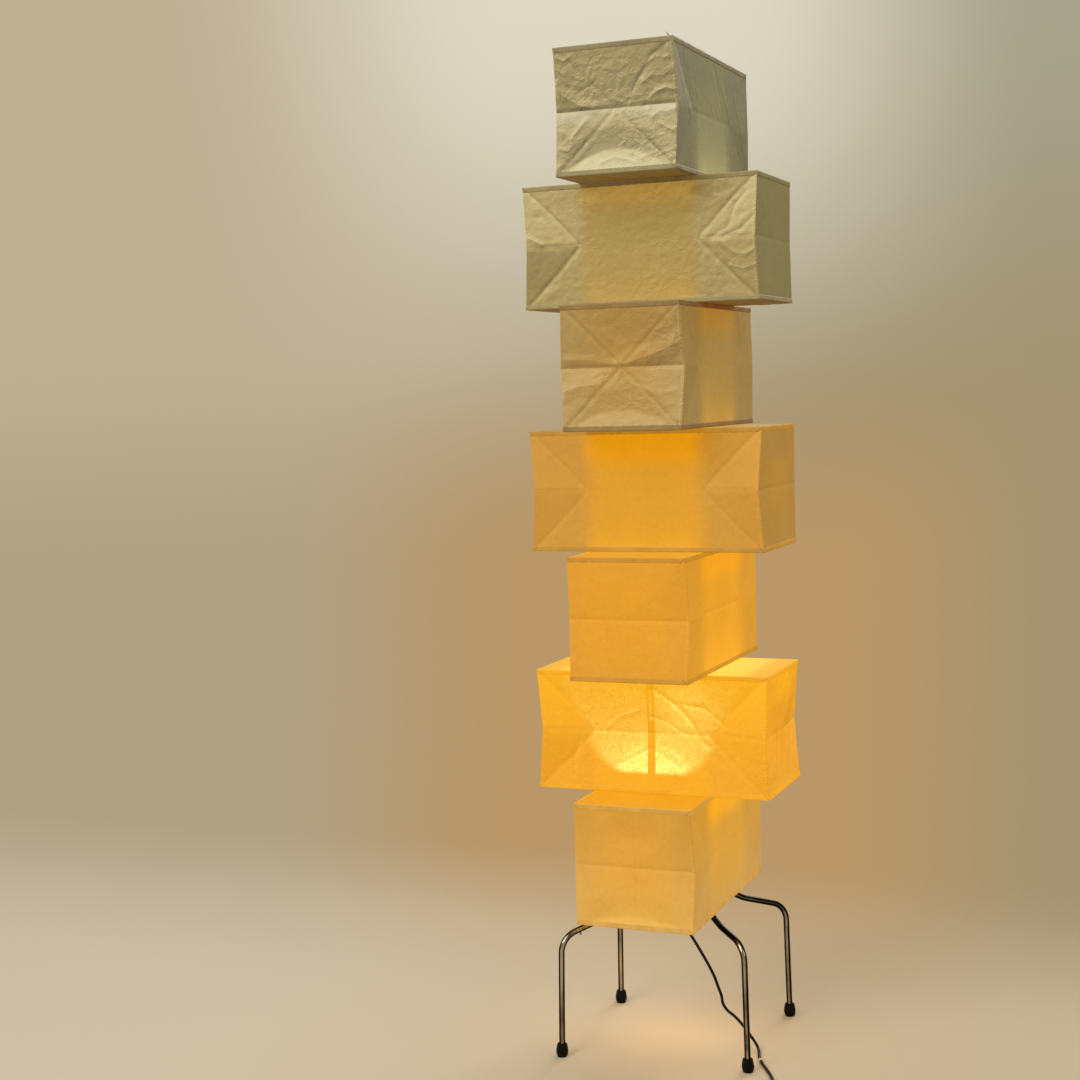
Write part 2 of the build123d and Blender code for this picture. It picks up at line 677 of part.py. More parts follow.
def rocker():
    """The rocker with its two trunnions, level, about its pivot."""
    top = SWITCH_HEIGHT - ROCKER_PIVOT_HEIGHT
    tip = ROCKER_HALF_LENGTH - ROCKER_DRAFT
    profile = [
        (-ROCKER_HALF_LENGTH, -ROCKER_SKIRT),
        (ROCKER_HALF_LENGTH, -ROCKER_SKIRT),
        (tip, top + ROCKER_RISE),
        (0, top - ROCKER_DIP),
        (-tip, top + ROCKER_RISE),
    ]
    outline = Plane.YZ * make_face(Polyline(*profile, close=True))
    pin = ROCKER_WIDTH / 2 + SLIDE_FIT + ROCKER_PIN_GRIP - TOUCH
    trunnions = rod_between((-pin, 0, 0), (pin, 0, 0), ROCKER_TRUNNION / 2)
    return extrude(outline, ROCKER_WIDTH / 2, both=True) + trunnions


def build_switch():
    """The in-line switch: base, cover, rocker and two screws from below."""
    place = Pos(*SWITCH_CENTRE, 0) * Rot(0, 0, SWITCH_TURN)
    parting = SWITCH_BASE_HEIGHT
    half = SWITCH_LENGTH / 2
    tunnel = rod_between((0, -half, parting), (0, half, parting), CORD / 2 + SLIDE_FIT)
    base = switch_blank(TOUCH, parting - TOUCH / 2) - tunnel
    cover = switch_blank(parting + TOUCH / 2, SWITCH_HEIGHT)
    cover = fillet(cover.edges().group_by(Axis.Z)[-1], SWITCH_EDGE) - tunnel

    pivot = ROCKER_PIVOT_HEIGHT
    pocket = ROCKER_WIDTH / 2 + SLIDE_FIT
    reach = ROCKER_HALF_LENGTH + ROCKER_END_GAP
    cover -= block((-pocket, pocket), (-reach, reach), (pivot - ROCKER_WELL, SWITCH_HEIGHT))
    pin_end = pocket + ROCKER_PIN_GRIP
    cover -= rod_between((-pin_end, 0, pivot), (pin_end, 0, pivot), ROCKER_TRUNNION / 2 + FIT)
    save("switch_rocker", place * Pos(0, 0, pivot) * Rot(-ROCKER_THROW / 2, 0, 0) * rocker())

    screws = []
    for side in (-1, 1):
        x = side * SWITCH_SCREW_SPACING / 2
        y = side * (SWITCH_SCREW_INSET - half)
        hole = rod_between((x, y, 0), (x, y, SWITCH_SCREW_TOP + TOUCH), SWITCH_SCREW / 2 + FIT)
        sink = rod_between((x, y, 0), (x, y, SWITCH_SCREW_SINK), SWITCH_SCREW_HEAD / 2 + TOUCH)
        base -= hole + sink
        cover -= hole
        seat = SWITCH_SCREW_SINK - TOUCH
        head = rod_between((x, y, 3 * TOUCH), (x, y, seat), SWITCH_SCREW_HEAD / 2)
        shank = rod_between((x, y, seat), (x, y, SWITCH_SCREW_TOP), SWITCH_SCREW / 2)
        screws.append(place * (head + shank))
    save("switch_base", place * base)
    save("switch_cover", place * cover)
    save("switch_screws", *screws)


def build_plug():
    """The two-blade plug on the end of the tail, lying flat on the floor."""
    x, y, z = TAIL_ROUTE[-1]
    length, width, height = PLUG_BODY
    back = x - PLUG_TAPER
    front = back - length
    body = block((front, back), (y - width / 2, y + width / 2), (z - height / 2, z + height / 2))
    body = fillet(body.edges(), PLUG_EDGE)
    taper = Plane(origin=(x, y, z), z_dir=(-1, 0, 0)) * Pos(0, 0, PLUG_TAPER / 2)
    body += taper * Cone(CORD / 2 + PLUG_COLLAR, height / 2 - PLUG_EDGE / 2, PLUG_TAPER)
    save("plug_body", body)
    blade_length, thick, wide = BLADE
    blades = [
        block(
            (front - blade_length, front),
            (y + side * BLADE_SPACING / 2 - thick / 2, y + side * BLADE_SPACING / 2 + thick / 2),
            (z - wide / 2, z + wide / 2),
        )
        for side in (-1, 1)
    ]
    save("plug_blades", *blades)


os.makedirs("parts", exist_ok=True)
build_shade()
build_stand()
build_stretcher()
build_light()
build_cord()
build_switch()
build_plug()
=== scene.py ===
"""Dresses the andon floor lamp in its paper, metal, rubber and cord.

Metres, +Z up. The origin is on the floor, on the axis of the shade. The storeys are counted from the
bottom: odd ones lie along Y and even ones along X.
"""

import json
import logging
import math
from dataclasses import dataclass
from enum import Enum

import bmesh
import bpy
from mathutils import Matrix, Vector, noise

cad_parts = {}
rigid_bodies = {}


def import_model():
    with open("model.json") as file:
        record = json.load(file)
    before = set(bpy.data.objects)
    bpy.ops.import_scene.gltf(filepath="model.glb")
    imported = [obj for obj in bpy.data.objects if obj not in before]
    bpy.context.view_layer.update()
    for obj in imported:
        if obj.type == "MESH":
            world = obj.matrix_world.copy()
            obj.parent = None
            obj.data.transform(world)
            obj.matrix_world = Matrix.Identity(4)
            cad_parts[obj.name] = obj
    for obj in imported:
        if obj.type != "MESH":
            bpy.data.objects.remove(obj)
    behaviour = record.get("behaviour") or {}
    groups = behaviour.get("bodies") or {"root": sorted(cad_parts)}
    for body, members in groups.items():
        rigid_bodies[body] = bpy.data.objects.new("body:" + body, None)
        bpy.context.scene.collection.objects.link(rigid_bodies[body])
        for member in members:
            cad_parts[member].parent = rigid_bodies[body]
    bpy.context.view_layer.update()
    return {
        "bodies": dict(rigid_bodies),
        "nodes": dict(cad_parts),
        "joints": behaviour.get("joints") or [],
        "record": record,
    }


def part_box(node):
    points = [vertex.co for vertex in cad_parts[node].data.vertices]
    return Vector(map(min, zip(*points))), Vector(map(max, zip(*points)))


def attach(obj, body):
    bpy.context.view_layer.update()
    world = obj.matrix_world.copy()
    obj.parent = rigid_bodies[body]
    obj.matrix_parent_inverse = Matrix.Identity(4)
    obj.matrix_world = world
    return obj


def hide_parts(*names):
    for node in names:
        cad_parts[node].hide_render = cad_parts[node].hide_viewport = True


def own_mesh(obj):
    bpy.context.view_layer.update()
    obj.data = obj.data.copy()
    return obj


LOG = logging.getLogger("andon")
MM = 0.001

Colour = tuple[float, float, float, float]
Socket = bpy.types.NodeSocket
Value = float | tuple | Socket
Screen = tuple[int, int, int]


def tone(red: int, green: int, blue: int) -> Colour:
    """A screen colour, 0 to 255 in each channel, as the linear colour that a shader takes."""
    parts = []
    for part in (red, green, blue):
        share = part / 255
        parts.append(share / 12.92 if share <= 0.04045 else ((share + 0.055) / 1.055) ** 2.4)
    return (*parts, 1.0)


# ---------------------------------------------------------------- node trees


class Shader:
    """Adds nodes to a tree and wires them as they are made."""

    def __init__(self, tree: bpy.types.NodeTree) -> None:
        """Start an empty tree.

        Args:
            tree: the material's or the group's node tree.
        """
        self.tree = tree
        tree.nodes.clear()

    def add(self, kind: str, **settings: object) -> bpy.types.Node:
        """Add a node.

        Args:
            kind: the node's type, without its ShaderNode prefix.
            **settings: properties to set on it.

        Returns:
            The node.
        """
        node = self.tree.nodes.new(kind if kind.startswith("Node") else f"ShaderNode{kind}")
        for name, value in settings.items():
            setattr(node, name, value)
        return node

    def feed(self, socket: Socket, value: Value) -> None:
        """Link a socket to another, or set its own value."""
        if isinstance(value, bpy.types.NodeSocket):
            self.tree.links.new(value, socket)
        else:
            socket.default_value = value

    def math(self, operation: str, *values: Value, clamp: bool = False) -> Socket:
        """The result of a Math node."""
        node = self.add("Math", operation=operation, use_clamp=clamp)
        for socket, value in zip(node.inputs, values):
            self.feed(socket, value)
        return node.outputs[0]

    def vector(self, operation: str, *values: Value) -> bpy.types.Node:
        """A Vector Math node, wired to its values."""
        node = self.add("VectorMath", operation=operation)
        for socket, value in zip(node.inputs, values):
            self.feed(socket, value)
        return node

    def mix(self, share: Value, first: Value, second: Value, blend: str = "MIX") -> Socket:
        """The colour between two, by a share."""
        node = self.add("Mix", data_type="RGBA", blend_type=blend)
        self.feed(node.inputs[0], share)
        self.feed(node.inputs[6], first)
        self.feed(node.inputs[7], second)
        return node.outputs[2]

    def step(self, value: Value, start: float, end: float, low: float = 0.0, high: float = 1.0) -> Socket:
        """A smooth step from low to high as the value goes from start to end."""
        node = self.add("MapRange", interpolation_type="SMOOTHSTEP")
        for socket, entry in zip(node.inputs, (value, start, end, low, high)):
            self.feed(socket, entry)
        return node.outputs[0]

    def grain(self, place: Socket, scale: float, detail: float = 2.0, roughness: float = 0.5) -> Socket:
        """The value of a Noise texture, about 0.5 on average."""
        node = self.add("TexNoise")
        self.feed(node.inputs["Vector"], place)
        node.inputs["Scale"].default_value = scale
        node.inputs["Detail"].default_value = detail
        node.inputs["Roughness"].default_value = roughness
        return node.outputs["Fac"]

    def cells(self, place: Socket, scale: float, feature: str = "F1") -> Socket:
        """The distance of a Voronoi texture."""
        node = self.add("TexVoronoi", feature=feature)
        self.feed(node.inputs["Vector"], place)
        node.inputs["Scale"].default_value = scale
        return node.outputs["Distance"]

    def moved(self, place: Socket, shift: tuple, scale: tuple = (1, 1, 1)) -> Socket:
        """The same place, shifted and scaled by a Mapping node."""
        node = self.add("Mapping")
        self.feed(node.inputs["Vector"], place)
        node.inputs["Location"].default_value = shift
        node.inputs["Scale"].default_value = scale
        return node.outputs["Vector"]

    def group(self, tree: bpy.types.NodeTree, **values: Value) -> bpy.types.Node:
        """Place a node group and set its inputs by name, with underscores for spaces."""
        node = self.add("Group")
        node.node_tree = tree
        for name, value in values.items():
            self.feed(node.inputs[name.replace("_", " ")], value)
        return node

    def bump(self, height: Socket, distance: float, strength: float = 1.0) -> Socket:
        """The normal that a Bump node makes from a height."""
        node = self.add("Bump")
        node.inputs["Strength"].default_value = strength
        node.inputs["Distance"].default_value = distance
        self.feed(node.inputs["Height"], height)
        return node.outputs["Normal"]

    def surface(self, **values: Value) -> bpy.types.Node:
        """Add the Principled BSDF and the output, and set sockets by name."""
        principled = self.add("BsdfPrincipled")
        output = self.add("OutputMaterial")
        self.tree.links.new(principled.outputs[0], output.inputs["Surface"])
        for name, value in values.items():
            self.feed(principled.inputs[name.replace("_", " ")], value)
        return principled


class GroupKind(Enum):
    """The socket types that the node groups use."""

    NUMBER = "NodeSocketFloat"
    COLOUR = "NodeSocketColor"
    VECTOR = "NodeSocketVector"


def new_group(name: str, takes: dict[str, GroupKind], gives: dict[str, GroupKind]) -> bpy.types.NodeTree:
    """Make an empty node group with named sockets.

    Args:
        name: the group's name.
        takes: its inputs.
        gives: its outputs.

    Returns:
        The group's tree.
    """
    tree = bpy.data.node_groups.new(name, "ShaderNodeTree")
    for label, kind in takes.items():
        tree.interface.new_socket(name=label, in_out="INPUT", socket_type=kind.value)
    for label, kind in gives.items():
        tree.interface.new_socket(name=label, in_out="OUTPUT", socket_type=kind.value)
    return tree


def fibre_group() -> bpy.types.NodeTree:
    """Long plant fibres, cloudiness and small creases of handmade paper.

    Returns:
        A group that gives a height in millimetres, a cloud mask, a fine mottle, and masks of the fibres,
        the specks and the small creases.
    """
    kinds = {label: GroupKind.NUMBER for label in ("Height", "Cloud", "Mottle", "Fibre", "Speckle", "Veins")}
    tree = new_group("mulberry_fibres", {"Place": GroupKind.VECTOR, "Crumple": GroupKind.NUMBER}, kinds)
    shader = Shader(tree)
    given = shader.add("NodeGroupInput").outputs
    place = given["Place"]
    fibres = 0.0
    for scale, width, shift in ((30.0, 0.009, 0.0), (47.0, 0.012, 7.0), (78.0, 0.015, 13.0), (120.0, 0.019, 21.0)):
        wander = shader.grain(shader.moved(place, (shift, shift, shift)), scale, 1.5, 0.4)
        away = shader.math("ABSOLUTE", shader.math("SUBTRACT", wander, 0.5))
        line = shader.step(away, 0.0, width, 1.0, 0.0)
        patch = shader.step(shader.grain(place, scale * 0.45, 1.0), 0.42, 0.58)
        fibres = shader.math("MAXIMUM", fibres, shader.math("MULTIPLY", line, patch))
    cloud = shader.grain(place, 120.0, 4.0, 0.6)
    mottle = shader.grain(place, 420.0, 3.0, 0.6)
    speckle = shader.step(shader.cells(place, 470.0), 0.14, 0.40, 1.0, 0.0)
    bend = shader.add("TexNoise")
    shader.feed(bend.inputs["Vector"], place)
    bend.inputs["Scale"].default_value = 26.0
    warped = shader.vector("SCALE", bend.outputs["Color"])
    warped.inputs["Scale"].default_value = 0.024
    warped = shader.vector("ADD", place, warped.outputs[0]).outputs[0]
    facets = shader.cells(warped, 44.0, "DISTANCE_TO_EDGE")
    dents = shader.cells(warped, 118.0, "DISTANCE_TO_EDGE")
    rougher = shader.step(shader.grain(shader.moved(place, (4, 2, 6)), 9.0, 2.0), 0.36, 0.64, 0.35, 1.25)
    height = shader.math("MULTIPLY_ADD", facets, -3.6, shader.math("MULTIPLY", dents, 1.5))
    height = shader.math("MULTIPLY", height, shader.math("MULTIPLY", rougher, given["Crumple"]))
    height = shader.math("MULTIPLY_ADD", cloud, 0.30, height)
    height = shader.math("MULTIPLY_ADD", fibres, 0.08, height)
    out = shader.add("NodeGroupOutput")
    veins = shader.math("MULTIPLY", shader.step(facets, 0.0, 0.030, 1.0, 0.0), shader.step(cloud, 0.40, 0.60))
    for socket, value in zip(out.inputs, (height, cloud, mottle, fibres, speckle, veins)):
        shader.feed(socket, value)
    return tree


def beside_fold(shader: Shader, offset: Socket, dark: float, light: float) -> Socket:
    """The shade beside a fold, below zero on its upper side and above zero on its lower side.

    Args:
        shader: the tree to add to.
        offset: distance above the fold.
        dark: width of the shaded side.
        light: width of the lit side.

    Returns:
        The shade, strongest right at the fold.
    """
    above = shader.math("GREATER_THAN", offset, 0.0)
    shaded = shader.math("MULTIPLY", shader.step(offset, 0.0, dark, 1.0, 0.0), above)
    below = shader.math("SUBTRACT", 1.0, above)
    lit = shader.math("MULTIPLY", shader.step(offset, -light, 0.0), below)
    return shader.math("MULTIPLY_ADD", lit, 0.6, shader.math("MULTIPLY", shaded, -1.0))


def crease_group() -> bpy.types.NodeTree:
    """The folds that let a paper box collapse, drawn from a wall's own map.

    The map gives the distance from the nearer end of the wall and the height above its middle. The
    inputs say how much the upper and the lower diagonal folds show, and the middle fold at the ends of
    the wall and between them.

    Returns:
        A group that gives a height in millimetres, a mask of the fold lines, the shade beside them about
        zero, a mask of the end triangles, and a mask of where they catch the light below the middle fold.
    """
    number = GroupKind.NUMBER
    takes = {"Map": GroupKind.VECTOR} | {
        label: number for label in ("Half height", "Upper", "Lower", "Ends", "Across")
    }
    kinds = {label: number for label in ("Height", "Lines", "Shade", "Gusset", "Glint")}
    tree = new_group("box_creases", takes, kinds)
    shader = Shader(tree)
    given = shader.add("NodeGroupInput").outputs
    split = shader.add("SeparateXYZ")
    shader.feed(split.inputs[0], given["Map"])
    wobble = shader.math("MULTIPLY_ADD", shader.grain(given["Map"], 55.0, 2.0), 3.0 * MM, -1.5 * MM)
    from_end = split.outputs[0]
    above = shader.math("MULTIPLY_ADD", wobble, 0.4, split.outputs[1])
    away = shader.math("ABSOLUTE", above)
    high = shader.math("GREATER_THAN", above, 0.0)
    reach = shader.math("SUBTRACT", shader.math("ADD", from_end, away), given["Half height"])
    reach = shader.math("MULTIPLY", shader.math("ADD", reach, wobble), 0.707)
    near = shader.step(shader.math("DIVIDE", from_end, given["Half height"]), 0.96, 1.02, 1.0, 0.0)
    sides = shader.math("SUBTRACT", given["Upper"], given["Lower"])
    diagonal = shader.math("MULTIPLY", shader.math("MULTIPLY_ADD", sides, high, given["Lower"]), near)
    ends = shader.math("SUBTRACT", given["Ends"], given["Across"])
    middle = shader.math("MULTIPLY_ADD", ends, near, given["Across"])

    patchy = shader.step(shader.grain(shader.moved(given["Map"], (3, 8, 0)), 17.0, 2.0), 0.32, 0.66, 0.5, 1.25)
    upward = shader.math("MULTIPLY", reach, shader.math("MULTIPLY_ADD", high, 2.0, -1.0))
    shade = shader.math("MULTIPLY", beside_fold(shader, above, 13 * MM, 11 * MM), middle)
    shade = shader.math("MULTIPLY_ADD", beside_fold(shader, upward, 10 * MM, 8 * MM), diagonal, shade)
    shade = shader.math("MULTIPLY", shade, patchy)

    beside = shader.math("ABSOLUTE", reach)
    line = shader.math("MULTIPLY", shader.step(beside, 0.1 * MM, 1.3 * MM, 1.0, 0.0), diagonal)
    level = shader.math("MULTIPLY", shader.step(away, 0.1 * MM, 1.2 * MM, 1.0, 0.0), middle)
    broken = shader.step(shader.grain(given["Map"], 95.0, 2.0), 0.34, 0.58, 0.35, 1.0)
    lines = shader.math("MULTIPLY", shader.math("MAXIMUM", line, level), broken)
    valley = shader.math("MULTIPLY", shader.step(beside, 0.0, 9 * MM, 1.0, 0.0), diagonal)
    dip = shader.math("MULTIPLY", shader.step(away, 0.0, 8 * MM, 1.0, 0.0), middle)
    height = shader.math("MULTIPLY_ADD", valley, -1.0, shader.math("MULTIPLY", dip, -0.9))
    gusset = shader.math("MULTIPLY", shader.step(reach, -1.5 * MM, 1.5 * MM, 1.0, 0.0), near)
    glint = shader.math("MULTIPLY", shader.step(above, -36 * MM, -3 * MM), shader.math("SUBTRACT", 1.0, high))
    glint = shader.math("MULTIPLY", shader.math("MULTIPLY", glint, gusset), patchy)
    out = shader.add("NodeGroupOutput")
    for socket, value in zip(out.inputs, (height, lines, shade, gusset, glint)):
        shader.feed(socket, value)
    return tree


@dataclass(frozen=True)
class LightSource:
    """The lit bulb, and what stands in the way of its direct light."""

    height: float = 0.466  # of the filament
    lowest: float = 0.560  # bottom of the patch of light in the middle of a wall
    level_half: float = 0.060  # half of the patch's level part
    rise: float = 10.2  # of the patch's edge past that, over the square of the run
    half_opening: float = 0.1155  # of the square way from storey to storey
    rod_distance: float = 0.072
    rod_radius: float = 0.0050
    gap: tuple[float, float] = (0.594, 0.628)  # heights between a lower and an upper rod
    slot_half: float = 0.0019
    arch_top: float = 0.614
    arch_drop: float = 111.5
    bright: float = 22.0  # cosine over squared distance that counts as full
    bright_spot: tuple[float, float] = (0.078, 0.698)  # x and z of the middle of a painted brighter spot in the direct light

    def direct(self, shader: Shader, place: Socket, floor: Socket) -> Socket:
        """How strongly the bulb shines straight onto the paper.

        Args:
            shader: the tree to add to.
            place: the point on the paper.
            floor: height of the bottom of its storey.

        Returns:
            About 1 near the bulb, less with distance and slant, 0 in shadow.
        """
        split = shader.add("SeparateXYZ")
        shader.feed(split.inputs[0], place)
        x, y = (shader.math("ABSOLUTE", split.outputs[i]) for i in range(2))
        z = split.outputs[2]
        ray = shader.vector("SUBTRACT", place, (0.0, 0.0, self.height)).outputs[0]
        distance = shader.vector("LENGTH", ray).outputs[1]
        normal = shader.add("TexCoord").outputs["Normal"]
        facing = shader.math("ABSOLUTE", shader.vector("DOT_PRODUCT", ray, normal).outputs[1])
        light = shader.math("DIVIDE", facing, shader.math("POWER", distance, 3.0))
        light = shader.math("DIVIDE", light, self.bright)

        rise = shader.math("SUBTRACT", z, self.height)
        past = shader.math("MAXIMUM", shader.math("SUBTRACT", x, self.level_half), 0.0)
        edge = shader.math("MULTIPLY_ADD", shader.math("MULTIPLY", past, past), self.rise, self.lowest)
        above = shader.math("SUBTRACT", z, edge)
        patch = shader.step(above, shader.math("MULTIPLY_ADD", past, -0.1, -5 * MM), shader.math("MULTIPLY_ADD", past, 0.55, 6 * MM))
        # painted brighter spot in the direct light
        spot_boost = shader.vector("DISTANCE", shader.moved(place, (0, 0, 0), (1, 0, 1)), (self.bright_spot[0], 0.0, self.bright_spot[1]))
        spot_boost = shader.step(spot_boost.outputs[1], 0.020, 0.085, 2.4, 1.0)
        below = shader.math("SUBTRACT", floor, self.height)
        widest = shader.math("MULTIPLY", shader.math("MAXIMUM", x, y), below)
        widest = shader.math("DIVIDE", widest, shader.math("MAXIMUM", rise, MM))
        shaft = shader.step(widest, self.half_opening * 0.93, self.half_opening * 1.04, 1.0, 0.0)

        cube = shader.math("POWER", shader.math("ABSOLUTE", shader.math("SUBTRACT", split.outputs[0], 5 * MM)), 3.0)
        arch = shader.math("MULTIPLY_ADD", cube, self.arch_drop, shader.math("SUBTRACT", z, self.arch_top))
        arch = shader.step(arch, -1.5 * MM, 2.5 * MM, 1.30, 1.0)

        # painted shadow of the stretcher rod in front of the bulb, lit again through the slot of its splice
        reach = shader.math("DIVIDE", self.rod_distance, shader.math("MAXIMUM", y, MM))
        beside = shader.math("MULTIPLY", x, reach)
        crossing = shader.math("MULTIPLY_ADD", rise, reach, self.height)
        rod_shadow = shader.step(beside, self.rod_radius * 0.88, self.rod_radius * 1.1)
        behind = shader.math("GREATER_THAN", y, self.rod_distance)
        rod_shadow = shader.math("MAXIMUM", rod_shadow, shader.math("SUBTRACT", 1.0, behind))
        low, high = self.gap
        slot = shader.math("MULTIPLY", shader.step(crossing, low, low + 2 * MM), shader.step(crossing, high, high - 2 * MM))
        slot = shader.math("MULTIPLY", slot, shader.step(beside, self.slot_half * 0.6, self.slot_half * 1.4, 1.0, 0.0))
        for mask in (patch, shaft, arch, spot_boost, shader.math("MAXIMUM", rod_shadow, slot)):
            light = shader.math("MULTIPLY", light, mask)
        return light


def slant(shader: Shader, normal: Socket) -> Socket:
    """How far upright or level paper leans up and towards the front left, about zero; the glow group paints shade and
    highlights from it.
    """
    facing = shader.add("SeparateXYZ")
    shader.feed(facing.inputs[0], normal)
    lean = 0.0
    for axis, weight in zip(facing.outputs, (-0.40, -0.40, 1.0)):
        off_axis = shader.math("MULTIPLY_ADD", shader.math("MULTIPLY", axis, axis), -1.0, 1.0)
        lean = shader.math("MULTIPLY_ADD", shader.math("MULTIPLY", axis, off_axis), weight, lean)
    return lean


def glow_group(source: LightSource) -> bpy.types.NodeTree:
    """The light of the bulb as it shows through one storey's paper.

    Args:
        source: the bulb.

    Returns:
        A group that gives the storey's tone, with the bulb's glow and painted shade and highlights, and the light that
        falls straight onto it.
    """
    colour, number = GroupKind.COLOUR, GroupKind.NUMBER
    takes = {"Place": GroupKind.VECTOR}
    takes |= {label: number for label in ("Floor", "Height", "Along X", "Run start", "Run end", "Band start")}
    takes |= {label: colour for label in ("Low end", "High end", "Middle", "Top band", "Bottom band")}
    takes |= {label: number for label in ("Cloud", "Mottle", "Fibre", "Speckle", "Veins", "Shade", "Gusset")}
    takes |= {"Facing": GroupKind.VECTOR, "Lean": number, "Relief": number, "Grain": number}
    tree = new_group("lantern_glow", takes, {"Tone": colour, "Direct": colour, "Lit": number})
    shader = Shader(tree)
    given = shader.add("NodeGroupInput").outputs
    split = shader.add("SeparateXYZ")
    shader.feed(split.inputs[0], given["Place"])
    x, y, z = (split.outputs[i] for i in range(3))
    along = shader.add("Mix", data_type="FLOAT")
    for socket, value in ((0, given["Along X"]), (2, y), (3, x)):
        shader.feed(along.inputs[socket], value)
    run = shader.math("ABSOLUTE", along.outputs[0])
    level = shader.math("DIVIDE", shader.math("SUBTRACT", z, given["Floor"]), given["Height"])
    drift = shader.grain(shader.moved(given["Place"], (2, 5, 1)), 11.0, 2.0)

    soft = shader.math("MULTIPLY_ADD", drift, 0.030, -0.015)
    band = shader.step(shader.math("ADD", run, soft), given["Run start"], given["Run end"], 1.0, 0.0)
    ends = shader.mix(shader.step(level, 0.05, 0.95), given["Low end"], given["High end"])
    tint = shader.mix(band, ends, given["Middle"])
    lift = shader.math("SUBTRACT", level, given["Band start"])
    top = shader.step(shader.math("MULTIPLY_ADD", drift, 0.05, lift), -0.05, 0.14)
    bottom = shader.math("POWER", shader.math("SUBTRACT", 1.0, level, clamp=True), 4.5)
    tint = shader.mix(shader.math("MULTIPLY", top, band), tint, given["Top band"])
    tint = shader.mix(shader.math("MULTIPLY", bottom, band), tint, given["Bottom band"])

    # painted shade: the tone is lighter where the paper leans up and towards the front left, and darker where it leans
    # away
    large = slant(shader, shader.add("TexCoord").outputs["Normal"])
    small = shader.math("SUBTRACT", slant(shader, given["Facing"]), large)
    lean = shader.math("MULTIPLY", large, given["Lean"])
    lean = shader.math("MULTIPLY_ADD", small, given["Relief"], shader.math("ADD", lean, 1.0))
    lean = shader.math("MAXIMUM", lean, 0.3)
    grain_and_shade = shader.math("SUBTRACT", given["Cloud"], 0.5)
    grain_and_shade = shader.math("MULTIPLY_ADD", shader.math("MULTIPLY", grain_and_shade, given["Grain"]), 1.0, 1.0)
    grain_and_shade = shader.math("MULTIPLY", grain_and_shade, shader.math("MULTIPLY_ADD", drift, 0.12, 0.94))
    grain_and_shade = shader.math("MULTIPLY", grain_and_shade, shader.math("MULTIPLY_ADD", given["Fibre"], -0.06, 1.0))
    grain_and_shade = shader.math("MULTIPLY", grain_and_shade, lean)
    grain_and_shade = shader.math("MULTIPLY", grain_and_shade, shader.math("ADD", given["Shade"], 1.0))
    # painted shadow of the stretcher rod: a faint darker line up the middle of the walls that face front and back
    rod_shadow = shader.step(shader.math("ABSOLUTE", shader.math("SUBTRACT", x, 3.0 * MM)), 0.5 * MM, 2.0 * MM, 0.975, 1.0)
    grain_and_shade = shader.math("MULTIPLY", grain_and_shade, rod_shadow)
    tint = shader.vector("SCALE", tint)
    shader.feed(tint.inputs["Scale"], grain_and_shade)
    # painted highlight: paper that leans up towards the light turns paler
    leaning_to_light = shader.math("MULTIPLY", shader.math("SUBTRACT", lean, 1.0, clamp=True), given["Lean"])
    tint_with_highlight = shader.mix(shader.math("MULTIPLY", leaning_to_light, 0.30, clamp=True), tint.outputs[0], tone(214, 207, 172))

    direct = source.direct(shader, given["Place"], given["Floor"])
    mottle = shader.step(given["Mottle"], 0.36, 0.60, 0.45, 1.34)
    mottle = shader.math("MULTIPLY", mottle, shader.step(given["Cloud"], 0.34, 0.66, 0.82, 1.12))
    mottle = shader.math("MULTIPLY", mottle, shader.math("MULTIPLY_ADD", given["Fibre"], -0.62, 1.0))
    mottle = shader.math("MULTIPLY", mottle, shader.math("MULTIPLY_ADD", given["Speckle"], 0.30, 0.95))
    mottle = shader.math("MULTIPLY", mottle, shader.math("MULTIPLY_ADD", given["Veins"], -0.45, 1.0))
    mottle = shader.math("MULTIPLY", mottle, lean)
    direct = shader.math("MULTIPLY", direct, mottle)
    # painted shade: the end triangles of a wall keep only a fifth of the direct light
    direct = shader.math("MULTIPLY", direct, shader.math("MULTIPLY_ADD", given["Gusset"], -0.80, 1.0))
    added = shader.vector("SCALE", tuple(tone(140, 158, 92))[:3])
    shader.feed(added.inputs["Scale"], direct)
    out = shader.add("NodeGroupOutput")
    shader.feed(out.inputs[0], tint_with_highlight)
    shader.feed(out.inputs[1], added.outputs[0])
    shader.feed(out.inputs[2], band)
    return tree


def wear_group() -> bpy.types.NodeTree:
    """Dust, smears and fine scratches for metal, rubber and mouldings.

    Returns:
        A group that gives a dust mask, a smear mask and a height.
    """
    kinds = {"Dust": GroupKind.NUMBER, "Smear": GroupKind.NUMBER, "Height": GroupKind.NUMBER}
    tree = new_group("handled_wear", {"Place": GroupKind.VECTOR}, kinds)
    shader = Shader(tree)
    place = shader.add("NodeGroupInput").outputs[0]
    dust = shader.step(shader.grain(place, 90.0, 6.0, 0.7), 0.50, 0.74)
    smear = shader.step(shader.grain(shader.moved(place, (3, 1, 5), (1, 1, 0.25)), 34.0, 4.0, 0.6), 0.35, 0.7)
    scratch = shader.grain(shader.moved(place, (0, 0, 0), (1, 1, 0.06)), 900.0, 2.0, 0.5)
    out = shader.add("NodeGroupOutput")
    for socket, value in zip(out.inputs, (dust, smear, scratch)):
        shader.feed(socket, value)
    return tree


@dataclass
class Groups:
    """The node groups that the finishes share."""

    fibres: bpy.types.NodeTree
    creases: bpy.types.NodeTree
    glow: bpy.types.NodeTree
    wear: bpy.types.NodeTree

    @classmethod
    def build(cls) -> "Groups":
        """Make each group once."""
        return cls(fibre_group(), crease_group(), glow_group(LightSource()), wear_group())


# ---------------------------------------------------------------- finishes


def new_material(name: str) -> tuple[bpy.types.Material, Shader]:
    """A material and the shader helper of its tree."""
    material = bpy.data.materials.new(name)
    material.use_nodes = True
    return material, Shader(material.node_tree)


class PaperPart(Enum):
    """How the paper of a storey is laid."""

    WALL = "wall"
    END = "end"
    WING = "wing"
    HEM = "hem"
    SEAM = "seam"


